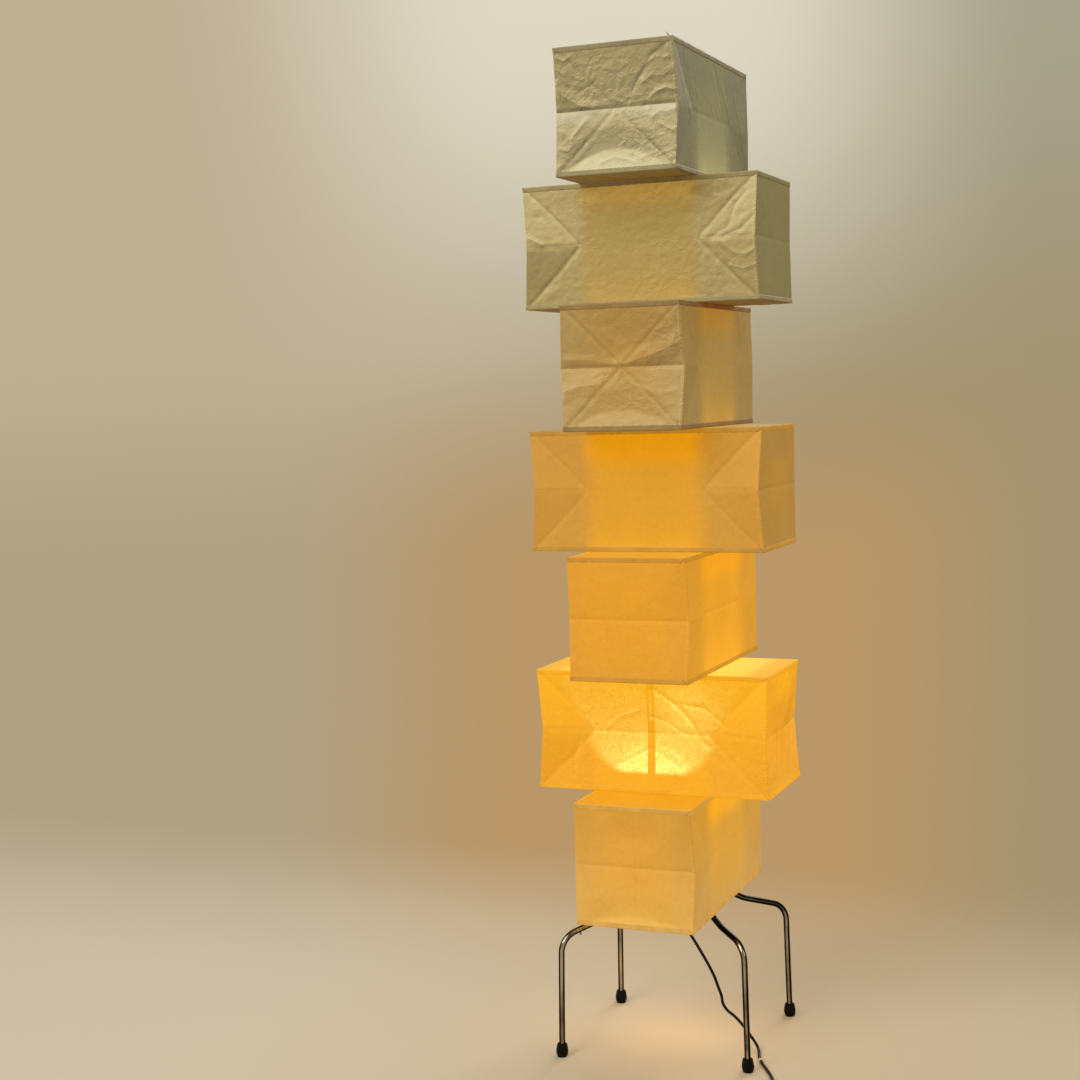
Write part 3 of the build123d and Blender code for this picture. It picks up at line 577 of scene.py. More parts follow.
@dataclass(frozen=True)
class GlowTones:
    """Screen colours that the light of the bulb gives one kind of wall."""

    low: Screen  # away from the middle, at the bottom
    high: Screen  # away from the middle, at the top
    middle: Screen
    top: Screen  # of the band along the top of the middle
    bottom: Screen  # along the bottom of the middle
    start: float = 0.096  # where the middle ends, from the axis
    end: float = 0.130

    def sockets(self) -> dict[str, Value]:
        """The inputs of the glow group that they set."""
        names = ("Low_end", "High_end", "Middle", "Top_band", "Bottom_band")
        values = (self.low, self.high, self.middle, self.top, self.bottom)
        tones = {name: tone(*value) for name, value in zip(names, values)}
        return tones | {"Run_start": self.start, "Run_end": self.end}


@dataclass(frozen=True)
class Folds:
    """How strongly the folds of one kind of wall show."""

    upper: float = 0.0
    lower: float = 0.0
    ends: float = 0.0  # of the middle fold, at the ends of the wall
    across: float = 0.0  # of the middle fold, between them
    contrast: float = 0.0  # of the shade beside them
    line: float = 0.0  # brightness of the crease itself
    crumple: float = 0.1
    lean: float = 0.6  # how much painted shade follows the way the paper leans, lighter facing up and front left
    relief: float = 0.2  # and how much painted shade follows the small crumples
    stray: float = -0.06  # brightness of the stray creases
    glint: float = 0.0  # share of painted pale sheen below the middle fold, in the end triangles

    def sockets(self) -> dict[str, Value]:
        """The inputs of the crease group that they set."""
        return {"Upper": self.upper, "Lower": self.lower, "Ends": self.ends, "Across": self.across}


@dataclass(frozen=True)
class PaperFinish:
    """One storey's paper, and how the bulb colours it."""

    walls: GlowTones
    ends: GlowTones
    wing: tuple[Screen, Screen]  # near the next storey, and far from it
    hem: Screen
    wall_folds: Folds
    end_folds: Folds
    unlit: float  # share of the plain paper that the glow leaves to be seen
    band_start: float = 0.74  # of the band along the top, as a share of the height
    direct: float = 0.0
    grain: float = 0.14
    plain: Colour = tone(168, 157, 112)
    # colour of the painted sheen
    sheen: Colour = tone(216, 209, 174)

    def tones(self, part: PaperPart) -> GlowTones:
        """The tones of one part."""
        near, far = self.wing
        if part is PaperPart.WING:
            return GlowTones(far, far, near, near, near, 0.100, 0.225)
        return self.ends if part is PaperPart.END else self.walls

    def kind(self, part: PaperPart, number: int) -> PaperPart:
        """The kind of wall that a part lies on, where its own tones come from."""
        if part is PaperPart.SEAM:
            return PaperPart.END if number % 2 else PaperPart.WALL
        return part

    def build(self, groups: Groups, number: int, low: float, height: float, part: PaperPart) -> bpy.types.Material:
        """Make the material.

        Args:
            groups: the shared node groups.
            number: the storey, from the bottom.
            low: height of the storey's bottom.
            height: the storey's height.
            part: how this paper is laid.

        Returns:
            The material.
        """
        material, shader = new_material(f"paper_{part.value}_{number}")
        coordinates = shader.add("TexCoord").outputs
        place = coordinates["Object"]
        kind = self.kind(part, number)
        folds = self.end_folds if kind is PaperPart.END else self.wall_folds
        creased = part in (PaperPart.WALL, PaperPart.END)
        fibres = shader.group(groups.fibres, Place=place, Crumple=folds.crumple).outputs
        creases = shader.group(groups.creases, Map=coordinates["UV"], Half_height=height / 2, **folds.sockets()).outputs
        shade = shader.math("MULTIPLY", creases["Shade"], folds.contrast)
        shade = shader.math("MULTIPLY_ADD", creases["Lines"], folds.line, shade)
        stray = shader.step(shader.add("Attribute", attribute_name="crease").outputs["Fac"], 0.45, 1.0)
        stray = shader.math("MULTIPLY", stray, shader.step(fibres["Cloud"], 0.34, 0.60))
        shade = shader.math("MULTIPLY_ADD", stray, folds.stray, shade)
        relief = shader.math("ADD", fibres["Height"], creases["Height"]) if creased else fibres["Height"]
        bumped = shader.bump(relief, 1.0 * MM, 1.0)
        glow = shader.group(
            groups.glow,
            Place=place,
            Floor=low,
            Height=height,
            Along_X=float((number % 2 == 0) != (kind is PaperPart.END)),
            Band_start=self.band_start,
            Cloud=fibres["Cloud"],
            Mottle=fibres["Mottle"],
            Fibre=fibres["Fibre"],
            Speckle=fibres["Speckle"],
            Veins=shader.math("MAXIMUM", fibres["Veins"], stray),
            Shade=shade if creased else 0.0,
            Gusset=creases["Gusset"] if creased else 0.0,
            Facing=bumped,
            Lean=folds.lean,
            Relief=folds.relief,
            Grain=self.grain,
            **self.tones(kind).sockets(),
        ).outputs
        look = glow["Tone"]
        # painted highlight: pale sheen below the middle fold
        if creased and folds.glint:
            look = shader.mix(shader.math("MULTIPLY", creases["Glint"], folds.glint), look, self.sheen)
        if part is PaperPart.HEM:
            look = shader.mix(0.78, look, self.shaded_hem(shader, place, coordinates["UV"], height / 2))
        elif part is PaperPart.SEAM:
            look = self.nick_shaded(shader, look, coordinates["UV"], folds.relief)
        share = shader.vector("SCALE", self.plain[:3])
        hidden = -0.5 * self.unlit if kind is PaperPart.WALL else 0.0
        shader.feed(share.inputs["Scale"], shader.math("MULTIPLY_ADD", glow["Lit"], hidden, self.unlit))
        reflected = shader.vector("MINIMUM", look, share.outputs[0]).outputs[0]
        light = shader.vector("SUBTRACT", look, reflected).outputs[0]
        if self.direct and part not in (PaperPart.HEM, PaperPart.SEAM):
            straight = shader.vector("SCALE", glow["Direct"])
            straight.inputs["Scale"].default_value = self.direct
            light = shader.vector("ADD", light, straight.outputs[0]).outputs[0]
        shader.surface(
            Base_Color=reflected,
            Roughness=0.62,
            Specular_IOR_Level=0.15 + 0.14 * self.unlit * self.unlit,
            Emission_Color=light,
            Emission_Strength=1.0,
            Normal=bumped,
        )
        return material

    def shaded_hem(self, shader: Shader, place: Socket, strip: Socket, half: float) -> Socket:
        """The uneven colour of a hem, darker in random patches, with painted shade along the creases of its mitred
        corners.

        Args:
            shader: the material's tree.
            place: the point on the paper.
            strip: the hem's own map.
            half: half of the storey's height.

        Returns:
            The colour.
        """
        split = shader.add("SeparateXYZ")
        shader.feed(split.inputs[0], strip)
        mitre = shader.math("ADD", split.outputs[0], shader.math("ABSOLUTE", split.outputs[1]))
        mitre = shader.math("ABSOLUTE", shader.math("SUBTRACT", mitre, half))
        # painted shade along the mitre creases
        dark = shader.step(mitre, 0.3 * MM, 2.2 * MM, 0.72, 1.0)
        spread = 0.05 + 0.13 * min(self.unlit, 1.0)
        patches = shader.grain(shader.moved(place, (5, 5, 5)), 30.0, 4.0, 0.65)
        patches = shader.step(patches, 0.34, 0.66, 1.0 - spread, 1.0 + 0.8 * spread)
        shade_marks = shader.vector("SCALE", tone(*self.hem)[:3])
        shader.feed(shade_marks.inputs["Scale"], shader.math("MULTIPLY", dark, patches))
        return shade_marks.outputs[0]

    def nick_shaded(self, shader: Shader, look: Socket, strip: Socket, shade_marks: float) -> Socket:
        """The tone of a glued seam, with painted highlights and shade at the nicks along its torn edge.

        Args:
            shader: the material's tree.
            look: the wall's tone.
            strip: the seam's own map.
            shade_marks: how much the nicks show.

        Returns:
            The colour.
        """
        split = shader.add("SeparateXYZ")
        shader.feed(split.inputs[0], strip)
        wander = shader.grain(strip, 30.0, 3.0)
        phase = shader.math("MULTIPLY_ADD", wander, 4.0, shader.math("DIVIDE", split.outputs[1], 8.0 * MM))
        wave = shader.math("ABSOLUTE", shader.math("SUBTRACT", shader.math("FRACT", phase), 0.5))
        patches = shader.step(shader.grain(shader.moved(strip, (6, 1, 0)), 24.0, 2.0), 0.40, 0.62)
        # painted highlight and shade: lighter and darker dashes at the nicks
        nick = shader.step(wave, 0.03, 0.22, 0.34 * shade_marks, -0.16 * shade_marks)
        shade = shader.math("MULTIPLY_ADD", nick, patches, 0.985)
        nick_shaded = shader.vector("SCALE", look)
        shader.feed(nick_shaded.inputs["Scale"], shade)
        return nick_shaded.outputs[0]


@dataclass(frozen=True)
class MetalFinish:
    """Bare, plated or enamelled metal with dust and smears."""

    name: str
    colour: Colour
    smeared: Colour
    roughness: float
    metallic: float = 1.0
    coat: float = 0.0
    scratch: float = 0.04

    def build(self, groups: Groups) -> bpy.types.Material:
        """Make the material from the shared groups."""
        material, shader = new_material(self.name)
        place = shader.add("TexCoord").outputs["Object"]
        wear = shader.group(groups.wear, Place=place).outputs
        colour = shader.mix(wear["Smear"], self.colour, self.smeared)
        rough = shader.math("MULTIPLY_ADD", wear["Dust"], 0.18, self.roughness)
        shader.surface(
            Base_Color=colour,
            Metallic=self.metallic,
            Roughness=rough,
            Coat_Weight=self.coat,
            Coat_Roughness=0.12,
            Normal=shader.bump(wear["Height"], self.scratch * MM, 0.5),
        )
        return material


@dataclass(frozen=True)
class ChromeFinish:
    """Bright plated tube with smears and fine pits, and a painted reflection: dark where it turns away and in a streak
    down it.
    """

    name: str = "leg_chrome"
    bright: Colour = tone(206, 197, 176)
    dim: Colour = tone(116, 106, 88)
    reflection_dark: Colour = tone(18, 16, 14)

    def build(self, groups: Groups) -> bpy.types.Material:
        """Make the material from the shared groups."""
        material, shader = new_material(self.name)
        place = shader.add("TexCoord").outputs["Object"]
        wear = shader.group(groups.wear, Place=place).outputs
        facing = self.facing(shader)
        smeared = shader.mix(wear["Smear"], self.bright, self.dim)
        # painted reflection: a dark streak down the tube and dark edges where it turns away
        colour = shader.mix(self.reflection_streak(shader, place), smeared, self.reflection_dark)
        colour = shader.mix(shader.step(facing, 0.07, 0.20), colour, self.reflection_dark)
        shader.surface(
            Base_Color=colour,
            Metallic=1.0,
            Roughness=shader.math("MULTIPLY_ADD", wear["Dust"], 0.16, 0.06),
            Normal=shader.bump(wear["Height"], 0.015 * MM, 0.5),
        )
        return material

    def reflection_streak(self, shader: Shader, place: Socket) -> Socket:
        """A painted reflection: a narrow dark streak down each tube, right of the middle on the right legs and left on
        the left ones.
        """
        normal = shader.add("SeparateXYZ")
        shader.feed(normal.inputs[0], shader.add("TexCoord").outputs["Normal"])
        split = shader.add("SeparateXYZ")
        shader.feed(split.inputs[0], place)
        across = shader.math("MULTIPLY_ADD", normal.outputs[1], 0.32, shader.math("MULTIPLY", normal.outputs[0], 0.95))
        middle = shader.step(split.outputs[0], -0.05, 0.05, -0.70, 0.36)
        away = shader.math("ABSOLUTE", shader.math("SUBTRACT", across, middle))
        upright = shader.step(split.outputs[2], 0.17, 0.235, 0.92, 0.0)
        return shader.math("MULTIPLY", shader.step(away, 0.10, 0.24, 1.0, 0.0), upright)

    def facing(self, shader: Shader) -> Socket:
        """0 where the tube faces the eye, 1 where it turns away."""
        weight = shader.add("LayerWeight")
        weight.inputs["Blend"].default_value = 0.5
        return weight.outputs["Facing"]


@dataclass(frozen=True)
class MouldingFinish:
    """Moulded plastic or rubber with a fine texture and a little dust."""

    name: str
    colour: Colour
    dusty: Colour
    roughness: float
    grain: float = 900.0
    depth: float = 0.05
    gloss: float = 0.4

    def build(self, groups: Groups) -> bpy.types.Material:
        """Make the material from the shared groups."""
        material, shader = new_material(self.name)
        place = shader.add("TexCoord").outputs["Object"]
        wear = shader.group(groups.wear, Place=place).outputs
        pores = shader.grain(place, self.grain, 3.0, 0.6)
        shader.surface(
            Base_Color=shader.mix(wear["Dust"], self.colour, self.dusty),
            Roughness=shader.math("MULTIPLY_ADD", wear["Smear"], 0.14, self.roughness),
            Specular_IOR_Level=self.gloss,
            Normal=shader.bump(pores, self.depth * MM, 0.6),
        )
        return material


@dataclass(frozen=True)
class ThreadFinish:
    """Twisted thread or cloth tape."""

    name: str
    colour: Colour
    shaded: Colour

    def build(self, groups: Groups) -> bpy.types.Material:
        """Make the material from the shared groups."""
        material, shader = new_material(self.name)
        place = shader.add("TexCoord").outputs["Object"]
        strands = shader.grain(shader.moved(place, (0, 0, 0), (1, 1, 2.5)), 1400.0, 2.0, 0.5)
        shader.surface(
            Base_Color=shader.mix(strands, self.shaded, self.colour),
            Roughness=0.85,
            Sheen_Weight=0.3,
            Normal=shader.bump(strands, 0.15 * MM, 0.8),
        )
        return material


@dataclass(frozen=True)
class BulbFinish:
    """Lit glass, silvered round its neck."""

    name: str = "bulb_glass_lit"

    def build(self, groups: Groups) -> bpy.types.Material:
        """Make the material from the shared groups."""
        material, shader = new_material(self.name)
        place = shader.add("TexCoord").outputs["Object"]
        split = shader.add("SeparateXYZ")
        shader.feed(split.inputs[0], place)
        dome = shader.step(split.outputs[2], 0.452, 0.466)
        wear = shader.group(groups.wear, Place=place).outputs
        silvered = shader.mix(wear["Smear"], tone(196, 192, 184), tone(170, 164, 152))
        shader.surface(
            Base_Color=shader.mix(dome, silvered, tone(255, 240, 205)),
            Roughness=shader.math("MULTIPLY_ADD", wear["Dust"], 0.1, 0.16),
            Emission_Color=shader.mix(dome, tone(60, 36, 10), tone(255, 226, 150)),
            Emission_Strength=1.0,
            Coat_Weight=0.6,
        )
        return material


class Finish(Enum):
    """The plain finishes of the metal, rubber, thread and plastic pieces."""

    CHROME = ChromeFinish()
    ENAMEL = MetalFinish("hub_enamel", tone(34, 32, 30), tone(26, 24, 22), 0.34, 0.0, 0.5)
    STEEL = MetalFinish("stretcher_steel", tone(176, 172, 164), tone(140, 134, 122), 0.36)
    SCREW = MetalFinish("screw_nickel", tone(176, 168, 150), tone(120, 112, 96), 0.24)
    BRASS = MetalFinish("plain_brass", tone(206, 168, 96), tone(150, 116, 62), 0.28)
    ALLOY = MetalFinish("bulb_cap_alloy", tone(190, 188, 182), tone(150, 146, 138), 0.30)
    WIRE = MetalFinish("frame_lacquer", tone(196, 180, 132), tone(164, 146, 98), 0.42, 0.0, 0.2)
    RUBBER = MouldingFinish("tip_rubber", tone(9, 8, 8), tone(19, 17, 15), 0.50, 700.0, 0.10, 0.12)
    BAKELITE = MouldingFinish("holder_moulding", tone(24, 21, 19), tone(42, 38, 32), 0.26, 260.0, 0.02)
    SHEATH = MouldingFinish("cord_sheath", tone(11, 10, 10), tone(22, 20, 18), 0.42, 1300.0, 0.05, 0.16)
    MOULDING = MouldingFinish("switch_moulding", tone(26, 25, 24), tone(46, 43, 38), 0.40, 1100.0, 0.06)
    PLUG = MouldingFinish("plug_moulding", tone(28, 27, 26), tone(50, 46, 41), 0.50, 1000.0, 0.08)
    THREAD = ThreadFinish("binding_thread", tone(186, 172, 136), tone(134, 120, 88))
    DARK_THREAD = ThreadFinish("loose_thread", tone(70, 60, 46), tone(40, 34, 26))
    TAPE = ThreadFinish("cord_tape", tone(226, 218, 200), tone(180, 170, 150))
    BULB = BulbFinish()


class Finishes:
    """Builds each plain finish the first time that it is asked for."""

    def __init__(self, groups: Groups) -> None:
        """Keep the shared groups."""
        self.groups = groups
        self.made: dict[Finish, bpy.types.Material] = {}

    def get(self, finish: Finish) -> bpy.types.Material:
        """The material of a finish."""
        if finish not in self.made:
            self.made[finish] = finish.value.build(self.groups)
        return self.made[finish]


# ---------------------------------------------------------------- pieces in general


def add_piece(name: str, bm: bmesh.types.BMesh, materials: list[bpy.types.Material]) -> bpy.types.Object:
    """Turn a bmesh into an object of the scene, at the origin, and free the bmesh.

    Args:
        name: the object's name.
        bm: its mesh, in place.
        materials: its materials, in the order of the faces' indices.

    Returns:
        The object.
    """
    mesh = bpy.data.meshes.new(name)
    bm.to_mesh(mesh)
    bm.free()
    for material in materials:
        mesh.materials.append(material)
    piece = bpy.data.objects.new(name, mesh)
    bpy.context.scene.collection.objects.link(piece)
    LOG.info("made %s, %d faces", name, len(mesh.polygons))
    return piece


def shade_smooth(bm: bmesh.types.BMesh, sharp_degrees: float) -> None:
    """Smooth every face, and keep edges sharp where the surface turns by more than an angle."""
    limit = math.radians(sharp_degrees)
    for face in bm.faces:
        face.smooth = True
    for edge in bm.edges:
        edge.smooth = len(edge.link_faces) == 2 and edge.calc_face_angle(0.0) < limit


def dress_node(frame: dict, node: str, material: bpy.types.Material) -> None:
    """Give a node of the frame a finish."""
    piece = frame["nodes"][node]
    piece.data.materials.clear()
    piece.data.materials.append(material)


def smooth_copy(frame: dict, node: str, material: bpy.types.Material, body: str) -> bpy.types.Object:
    """Stand a merged, smoothly shaded copy in for a node of the frame.

    Args:
        frame: the loaded frame.
        node: the node's name.
        material: its finish.
        body: the body that it rides on.

    Returns:
        The copy.
    """
    bm = bmesh.new()
    bm.from_mesh(frame["nodes"][node].data)
    bmesh.ops.remove_doubles(bm, verts=bm.verts[:], dist=0.002 * MM)
    shade_smooth(bm, 28.0)
    for face in bm.faces:
        face.material_index = 0
    piece = add_piece(f"{node}_finished", bm, [material])
    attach(piece, body)
    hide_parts(node)
    return piece


# ---------------------------------------------------------------- paper shade


class Side(Enum):
    """The four walls of a storey, by the heading of their outward normal in degrees."""

    FRONT = -90
    RIGHT = 0
    BACK = 90
    LEFT = 180

    def turn(self) -> Matrix:
        """Rotation from a wall drawn facing -Y to where this wall faces."""
        return Matrix.Rotation(math.radians(self.value + 90), 3, "Z")


@dataclass(frozen=True)
class Wrinkle:
    """A stray crease in a wall, through points (along it, above its middle), in millimetres."""

    side: Side
    points: tuple[tuple[float, float], ...]
    lift: float  # outward at the crease
    lean: float  # how far the paper beside it leans

    def away(self, along: float, above: float) -> float:
        """Distance in millimetres from the crease to a point of the wall."""
        point = Vector((along, above)) / MM
        nearest = math.inf
        for first, second in zip(self.points, self.points[1:]):
            start, run = Vector(first), Vector(second) - Vector(first)
            share = min(max((point - start).dot(run) / run.length_squared, 0.0), 1.0)
            nearest = min(nearest, (point - start - run * share).length)
        return nearest

    def offset(self, along: float, above: float) -> float:
        """Outward shift in metres that the crease gives a point of the wall."""
        return self.lift * max(0.0, 1.0 - self.away(along, above) / self.lean) * MM

    def nearness(self, along: float, above: float) -> float:
        """1 on the crease, 0 from a millimetre and a half away."""
        return max(0.0, 1.0 - self.away(along, above) / 1.5)


@dataclass(frozen=True)
class BoxShape:
    """How one paper box folds and crumples, in millimetres.

    The corners are front left, front right, rear right and rear left. Each gives how far it goes in
    along the box and out across it, halfway up.
    """

    corners: tuple[tuple[float, float], ...]
    valley: float  # depth of the middle of the long walls
    end_valley: float  # and of the short walls
    crumple: float  # of the front and the back
    side_crumple: float
    cell: float
    curl: float = 0.0  # how far a short wall dips in above its bottom edge
    curl_height: float = 30.0
    wrinkles: tuple[Wrinkle, ...] = ()


@dataclass
class Storey:
    """One paper box of the shade, with its creases, its wings and its hems."""

    number: int
    low: Vector
    high: Vector
    shape: BoxShape
    thickness: float = 0.3 * MM
    hem: float = 9.5 * MM
    lip: float = 0.6 * MM  # of the hem over the frame's wire
    seam: float = 6 * MM
    nick: float = 7.5 * MM  # from one nick of the seam's edge to the next
    passage: float = 0.1152  # half of the way through to the next storey

    def __post_init__(self) -> None:
        """Work out the sizes that the walls share."""
        self.size = self.high - self.low
        self.middle = (self.low + self.high) / 2
        self.cell = self.shape.cell * MM

    def faces_front(self, side: Side) -> bool:
        """Whether a wall runs along X."""
        return side in (Side.FRONT, Side.BACK)

    def length(self, side: Side) -> float:
        """Length of a wall."""
        return self.size.x if self.faces_front(side) else self.size.y

    def depth(self, side: Side) -> float:
        """Distance from the axis to a wall."""
        return (self.size.y if self.faces_front(side) else self.size.x) / 2

    def rumple(self, point: Vector) -> float:
        """Outward unevenness of fully crumpled paper at a point of the storey, in metres."""
        at = point + Vector((3.1 * self.number, 1.7, 0.9 * self.number))
        large = noise.noise(at * 8.0)
        stir = noise.noise_vector(at * 14.0) * 0.012
        height = 0.9 * large
        for scale, depth in ((24.0, 1.7), (58.0, -0.75)):
            near = noise.voronoi((at + stir) * scale)[0]
            height += depth * (near[1] - near[0] - 0.3)
        return (height + 0.25 * noise.noise(at * 110.0)) * MM

    def corner(self, side: Side, along: float) -> tuple[float, float]:
        """How far the corner nearest to a point goes in along the box and out across it."""
        place = side.turn() @ Vector((math.copysign(1.0, along), -1.0, 0.0))
        order = {(-1, -1): 0, (1, -1): 1, (1, 1): 2, (-1, 1): 3}
        return self.shape.corners[order[round(place.x), round(place.y)]]

    def curl(self, side: Side, along: float, above: float) -> float:
        """How far a short wall dips in where it curls out again to its bottom edge, in metres."""
        spread = 1.0 - (along / (0.47 * self.length(side))) ** 2
        if spread <= 0.0 or not self.shape.curl:
            return 0.0
        crest = self.shape.curl_height * MM * spread
        rise = self.size.z / 2 + above
        share = rise / crest if rise < crest else max(0.0, 1.0 - (rise - crest) / 0.040)
        return self.shape.curl * MM * share * min(1.0, spread * 1.6)

    def settle(self, side: Side, point: Vector, proud: float) -> Vector:
        """Move a point of a flat wall to where the creased paper is.

        Args:
            side: the wall.
            point: (along, 0, above the middle), as drawn facing -Y.
            proud: extra distance outward.

        Returns:
            The point in place, in the frame of the lamp.
        """
        along, above = point.x, point.z
        half_height = self.size.z / 2
        from_end = self.length(side) / 2 - abs(along)
        up = min(abs(above) / half_height, 1.0)
        corner_share = max(0.0, 1.0 - from_end / half_height - up)
        depth_share = max(0.0, min(from_end / half_height, 1.0 - up))
        into, out = self.corner(side, along)
        long_wall = self.length(side) > 2 * self.depth(side)
        push, slide = (out, -into) if long_wall else (-into, out)
        valley = self.shape.valley if long_wall else self.shape.end_valley
        outward = (push * corner_share - valley * depth_share) * MM
        sideways = slide * (1.0 - up) * max(0.0, 1.0 - from_end / half_height) * MM
        flat = side.turn() @ Vector((along, -self.depth(side), above)) + self.middle
        held = min((half_height - abs(above)) / 0.014, 1.0)
        crumples = (self.shape.crumple, self.shape.side_crumple)
        own = crumples[0] if self.faces_front(side) else crumples[1]
        if long_wall:
            own *= 0.3 + 0.7 * min(max(abs(along) - 0.07, 0.0) / 0.07, 1.0)
        blend = min(max(from_end, 0.0) / 0.030, 1.0)
        uneven = self.rumple(flat) * held * (min(crumples) * (1.0 - blend) + own * blend) + proud
        free = min(max(from_end, 0.0) / 0.005, 1.0) * held
        for wrinkle in self.shape.wrinkles:
            if wrinkle.side is side:
                outward += wrinkle.offset(along, above) * free
        if not long_wall:
            outward -= self.curl(side, along, above)
        outward += uneven
        sideways += uneven * max(0.0, 1.0 - from_end / 0.012)
        moved = Vector((along + math.copysign(sideways, along * sideways), -self.depth(side) - outward, above))
        return side.turn() @ moved + self.middle

    def score(self, bm: bmesh.types.BMesh, side: Side) -> None:
        """Cut a flat wall along its fold lines, and keep those edges sharp."""
        half_length, half_height = self.length(side) / 2, self.size.z / 2
        lines = [(Vector((0, 0, 0)), Vector((0, 0, 1)))]
        for end in (-1, 1):
            for slope in (-1, 1):
                corner = Vector((end * half_length, 0, half_height * slope))
                lines.append((corner, Vector((slope * end, 0, 1)).normalized()))
        for point, normal in lines:
            self.cut(bm, bm.faces[:], point, normal)
        for wrinkle in self.shape.wrinkles:
            if wrinkle.side is side:
                for start, end in zip(wrinkle.points, wrinkle.points[1:]):
                    self.cut_between(bm, Vector((start[0], 0, start[1])) * MM, Vector((end[0], 0, end[1])) * MM)

    def cut(self, bm: bmesh.types.BMesh, faces: list[bmesh.types.BMFace], point: Vector, normal: Vector) -> None:
        """Cut some faces of a flat wall along a plane, and keep the new edges sharp."""
        edges = {edge for face in faces for edge in face.edges}
        verts = {vert for face in faces for vert in face.verts}
        geometry = [*verts, *edges, *faces]
        made = bmesh.ops.bisect_plane(bm, geom=geometry, dist=0.3 * MM, plane_co=point, plane_no=normal)
        for part in made["geom_cut"]:
            if isinstance(part, bmesh.types.BMEdge):
                part.smooth = False

    def cut_between(self, bm: bmesh.types.BMesh, start: Vector, end: Vector) -> None:
        """Cut a flat wall along one straight crease, from its start to its end."""
        run = end - start
        along = run.normalized()
        beside = Vector((along.z, 0, -along.x))
        faces = []
        for face in bm.faces:
            offset = face.calc_center_median() - start
            if abs(offset.dot(beside)) < self.cell and -0.3 * self.cell < offset.dot(along) < run.length + 0.3 * self.cell:
                faces.append(face)
        if faces:
            self.cut(bm, faces, start, beside)

    def patch(
        self,
        side: Side,
        along: tuple[float, float],
        above: tuple[float, float],
        cell: float,
        proud: float = 0.0,
        lip: float = 0.0,
        torn: Vector | None = None,
    ) -> bmesh.types.BMesh:
        """Make a rectangle of a wall's paper.

        Args:
            side: the wall.
            along: where it starts and ends along the wall.
            above: where it starts and ends above the wall's middle.
            cell: size of its faces.
            proud: distance outside the wall's own paper.
            lip: further distance outside it at the wall's top or bottom edge.
            torn: direction (along, 0, above) of an uneven torn edge, or None for a whole wall.

        Returns:
            Its mesh, in place, mapped by the distance from the wall's end and the height above its middle.
        """
        bm = bmesh.new()
        width, height = along[1] - along[0], above[1] - above[0]
        columns, rows = 2 * max(1, round(width / cell / 2)), 2 * max(1, round(height / cell / 2))
        bmesh.ops.create_grid(bm, x_segments=columns, y_segments=rows, size=0.5)
        bmesh.ops.scale(bm, vec=(width, height, 1), verts=bm.verts[:])
        bmesh.ops.rotate(bm, matrix=Matrix.Rotation(math.radians(90), 3, "X"), verts=bm.verts[:])
        bmesh.ops.translate(bm, vec=(sum(along) / 2, 0, sum(above) / 2), verts=bm.verts[:])
        if torn is None:
            self.score(bm, side)
        else:
            edge = max(vert.co.dot(torn) for vert in bm.verts)
            for vert in bm.verts:
                if vert.co.dot(torn) > edge - 0.1 * MM:
                    run = vert.co.dot(Vector((torn.z, 0, torn.x)))
                    nicks = abs(math.sin(math.pi * run / self.nick)) ** 4
                    tear = noise.noise(Vector((run * 150.0, self.number, side.value)))
                    vert.co += torn * (tear * 1.3 - nicks * 0.9) * MM
        creased = bm.verts.layers.float.new("crease")
        for vert in bm.verts:
            vert[creased] = self.creased(side, vert.co.x, vert.co.z) if torn is None else 0.0
        folds = bm.loops.layers.uv.new("folds")
        half_length, half_height = self.length(side) / 2, self.size.z / 2
        for face in bm.faces:
            for loop in face.loops:
                loop[folds].uv = (half_length - abs(loop.vert.co.x), loop.vert.co.z)
        for vert in bm.verts:
            share = min(max((abs(vert.co.z) - half_height) / self.hem + 1.0, 0.0), 1.0)
            vert.co = self.settle(side, vert.co, proud + lip * share)
        return bm

    def creased(self, side: Side, along: float, above: float) -> float:
        """How close a point of a flat wall is to a stray crease, 1 right on it."""
        return max((wrinkle.nearness(along, above) for wrinkle in self.shape.wrinkles if wrinkle.side is side), default=0.0)

    def wing(self, top: bool, end: int) -> bmesh.types.BMesh:
        """Make the flat sheet that closes the part of the storey past its neighbour.

        Args:
            top: whether it closes the top or the bottom.
            end: -1 or 1, the end of the storey.

        Returns:
            Its mesh, in place.
        """
        bm = bmesh.new()
        along_x = self.size.x > self.size.y
        far = max(self.size.x, self.size.y) / 2
        across = min(self.size.x, self.size.y)
        reach = far - self.passage
        columns, rows = round(across / self.cell), round(reach / self.cell)
        bmesh.ops.create_grid(bm, x_segments=columns, y_segments=rows, size=0.5)
        bmesh.ops.scale(bm, vec=(across, reach, 1), verts=bm.verts[:])
        bmesh.ops.translate(bm, vec=(0, end * (self.passage + reach / 2), 0), verts=bm.verts[:])
        bm.loops.layers.uv.new("folds")
        bm.verts.layers.float.new("crease")
        level = self.size.z / 2 * (1 if top else -1)
        for vert in bm.verts:
            inset = min(across / 2 - abs(vert.co.x), reach / 2 - abs(abs(vert.co.y) - self.passage - reach / 2))
            ease = min(max(inset, 0.0) / 0.03, 1.0)
            at = vert.co + self.middle + Vector((0, 0, level + self.number))
            folds = 0.4 - abs(noise.noise(at * 24.0)) * 2
            small = 0.4 - abs(noise.noise(at * 70.0)) * 2
            sag = -1.8 + 1.4 * noise.noise(at * 9.0) + 0.9 * folds + 0.35 * small
            vert.co.z = level + sag * ease * MM
        for face in bm.faces:
            face.material_index = 2
        if not top:
            bmesh.ops.reverse_faces(bm, faces=bm.faces[:])
        if along_x:
            bmesh.ops.rotate(bm, matrix=Matrix.Rotation(math.radians(90), 3, "Z"), verts=bm.verts[:])
        bmesh.ops.translate(bm, vec=self.middle, verts=bm.verts[:])
        return bm

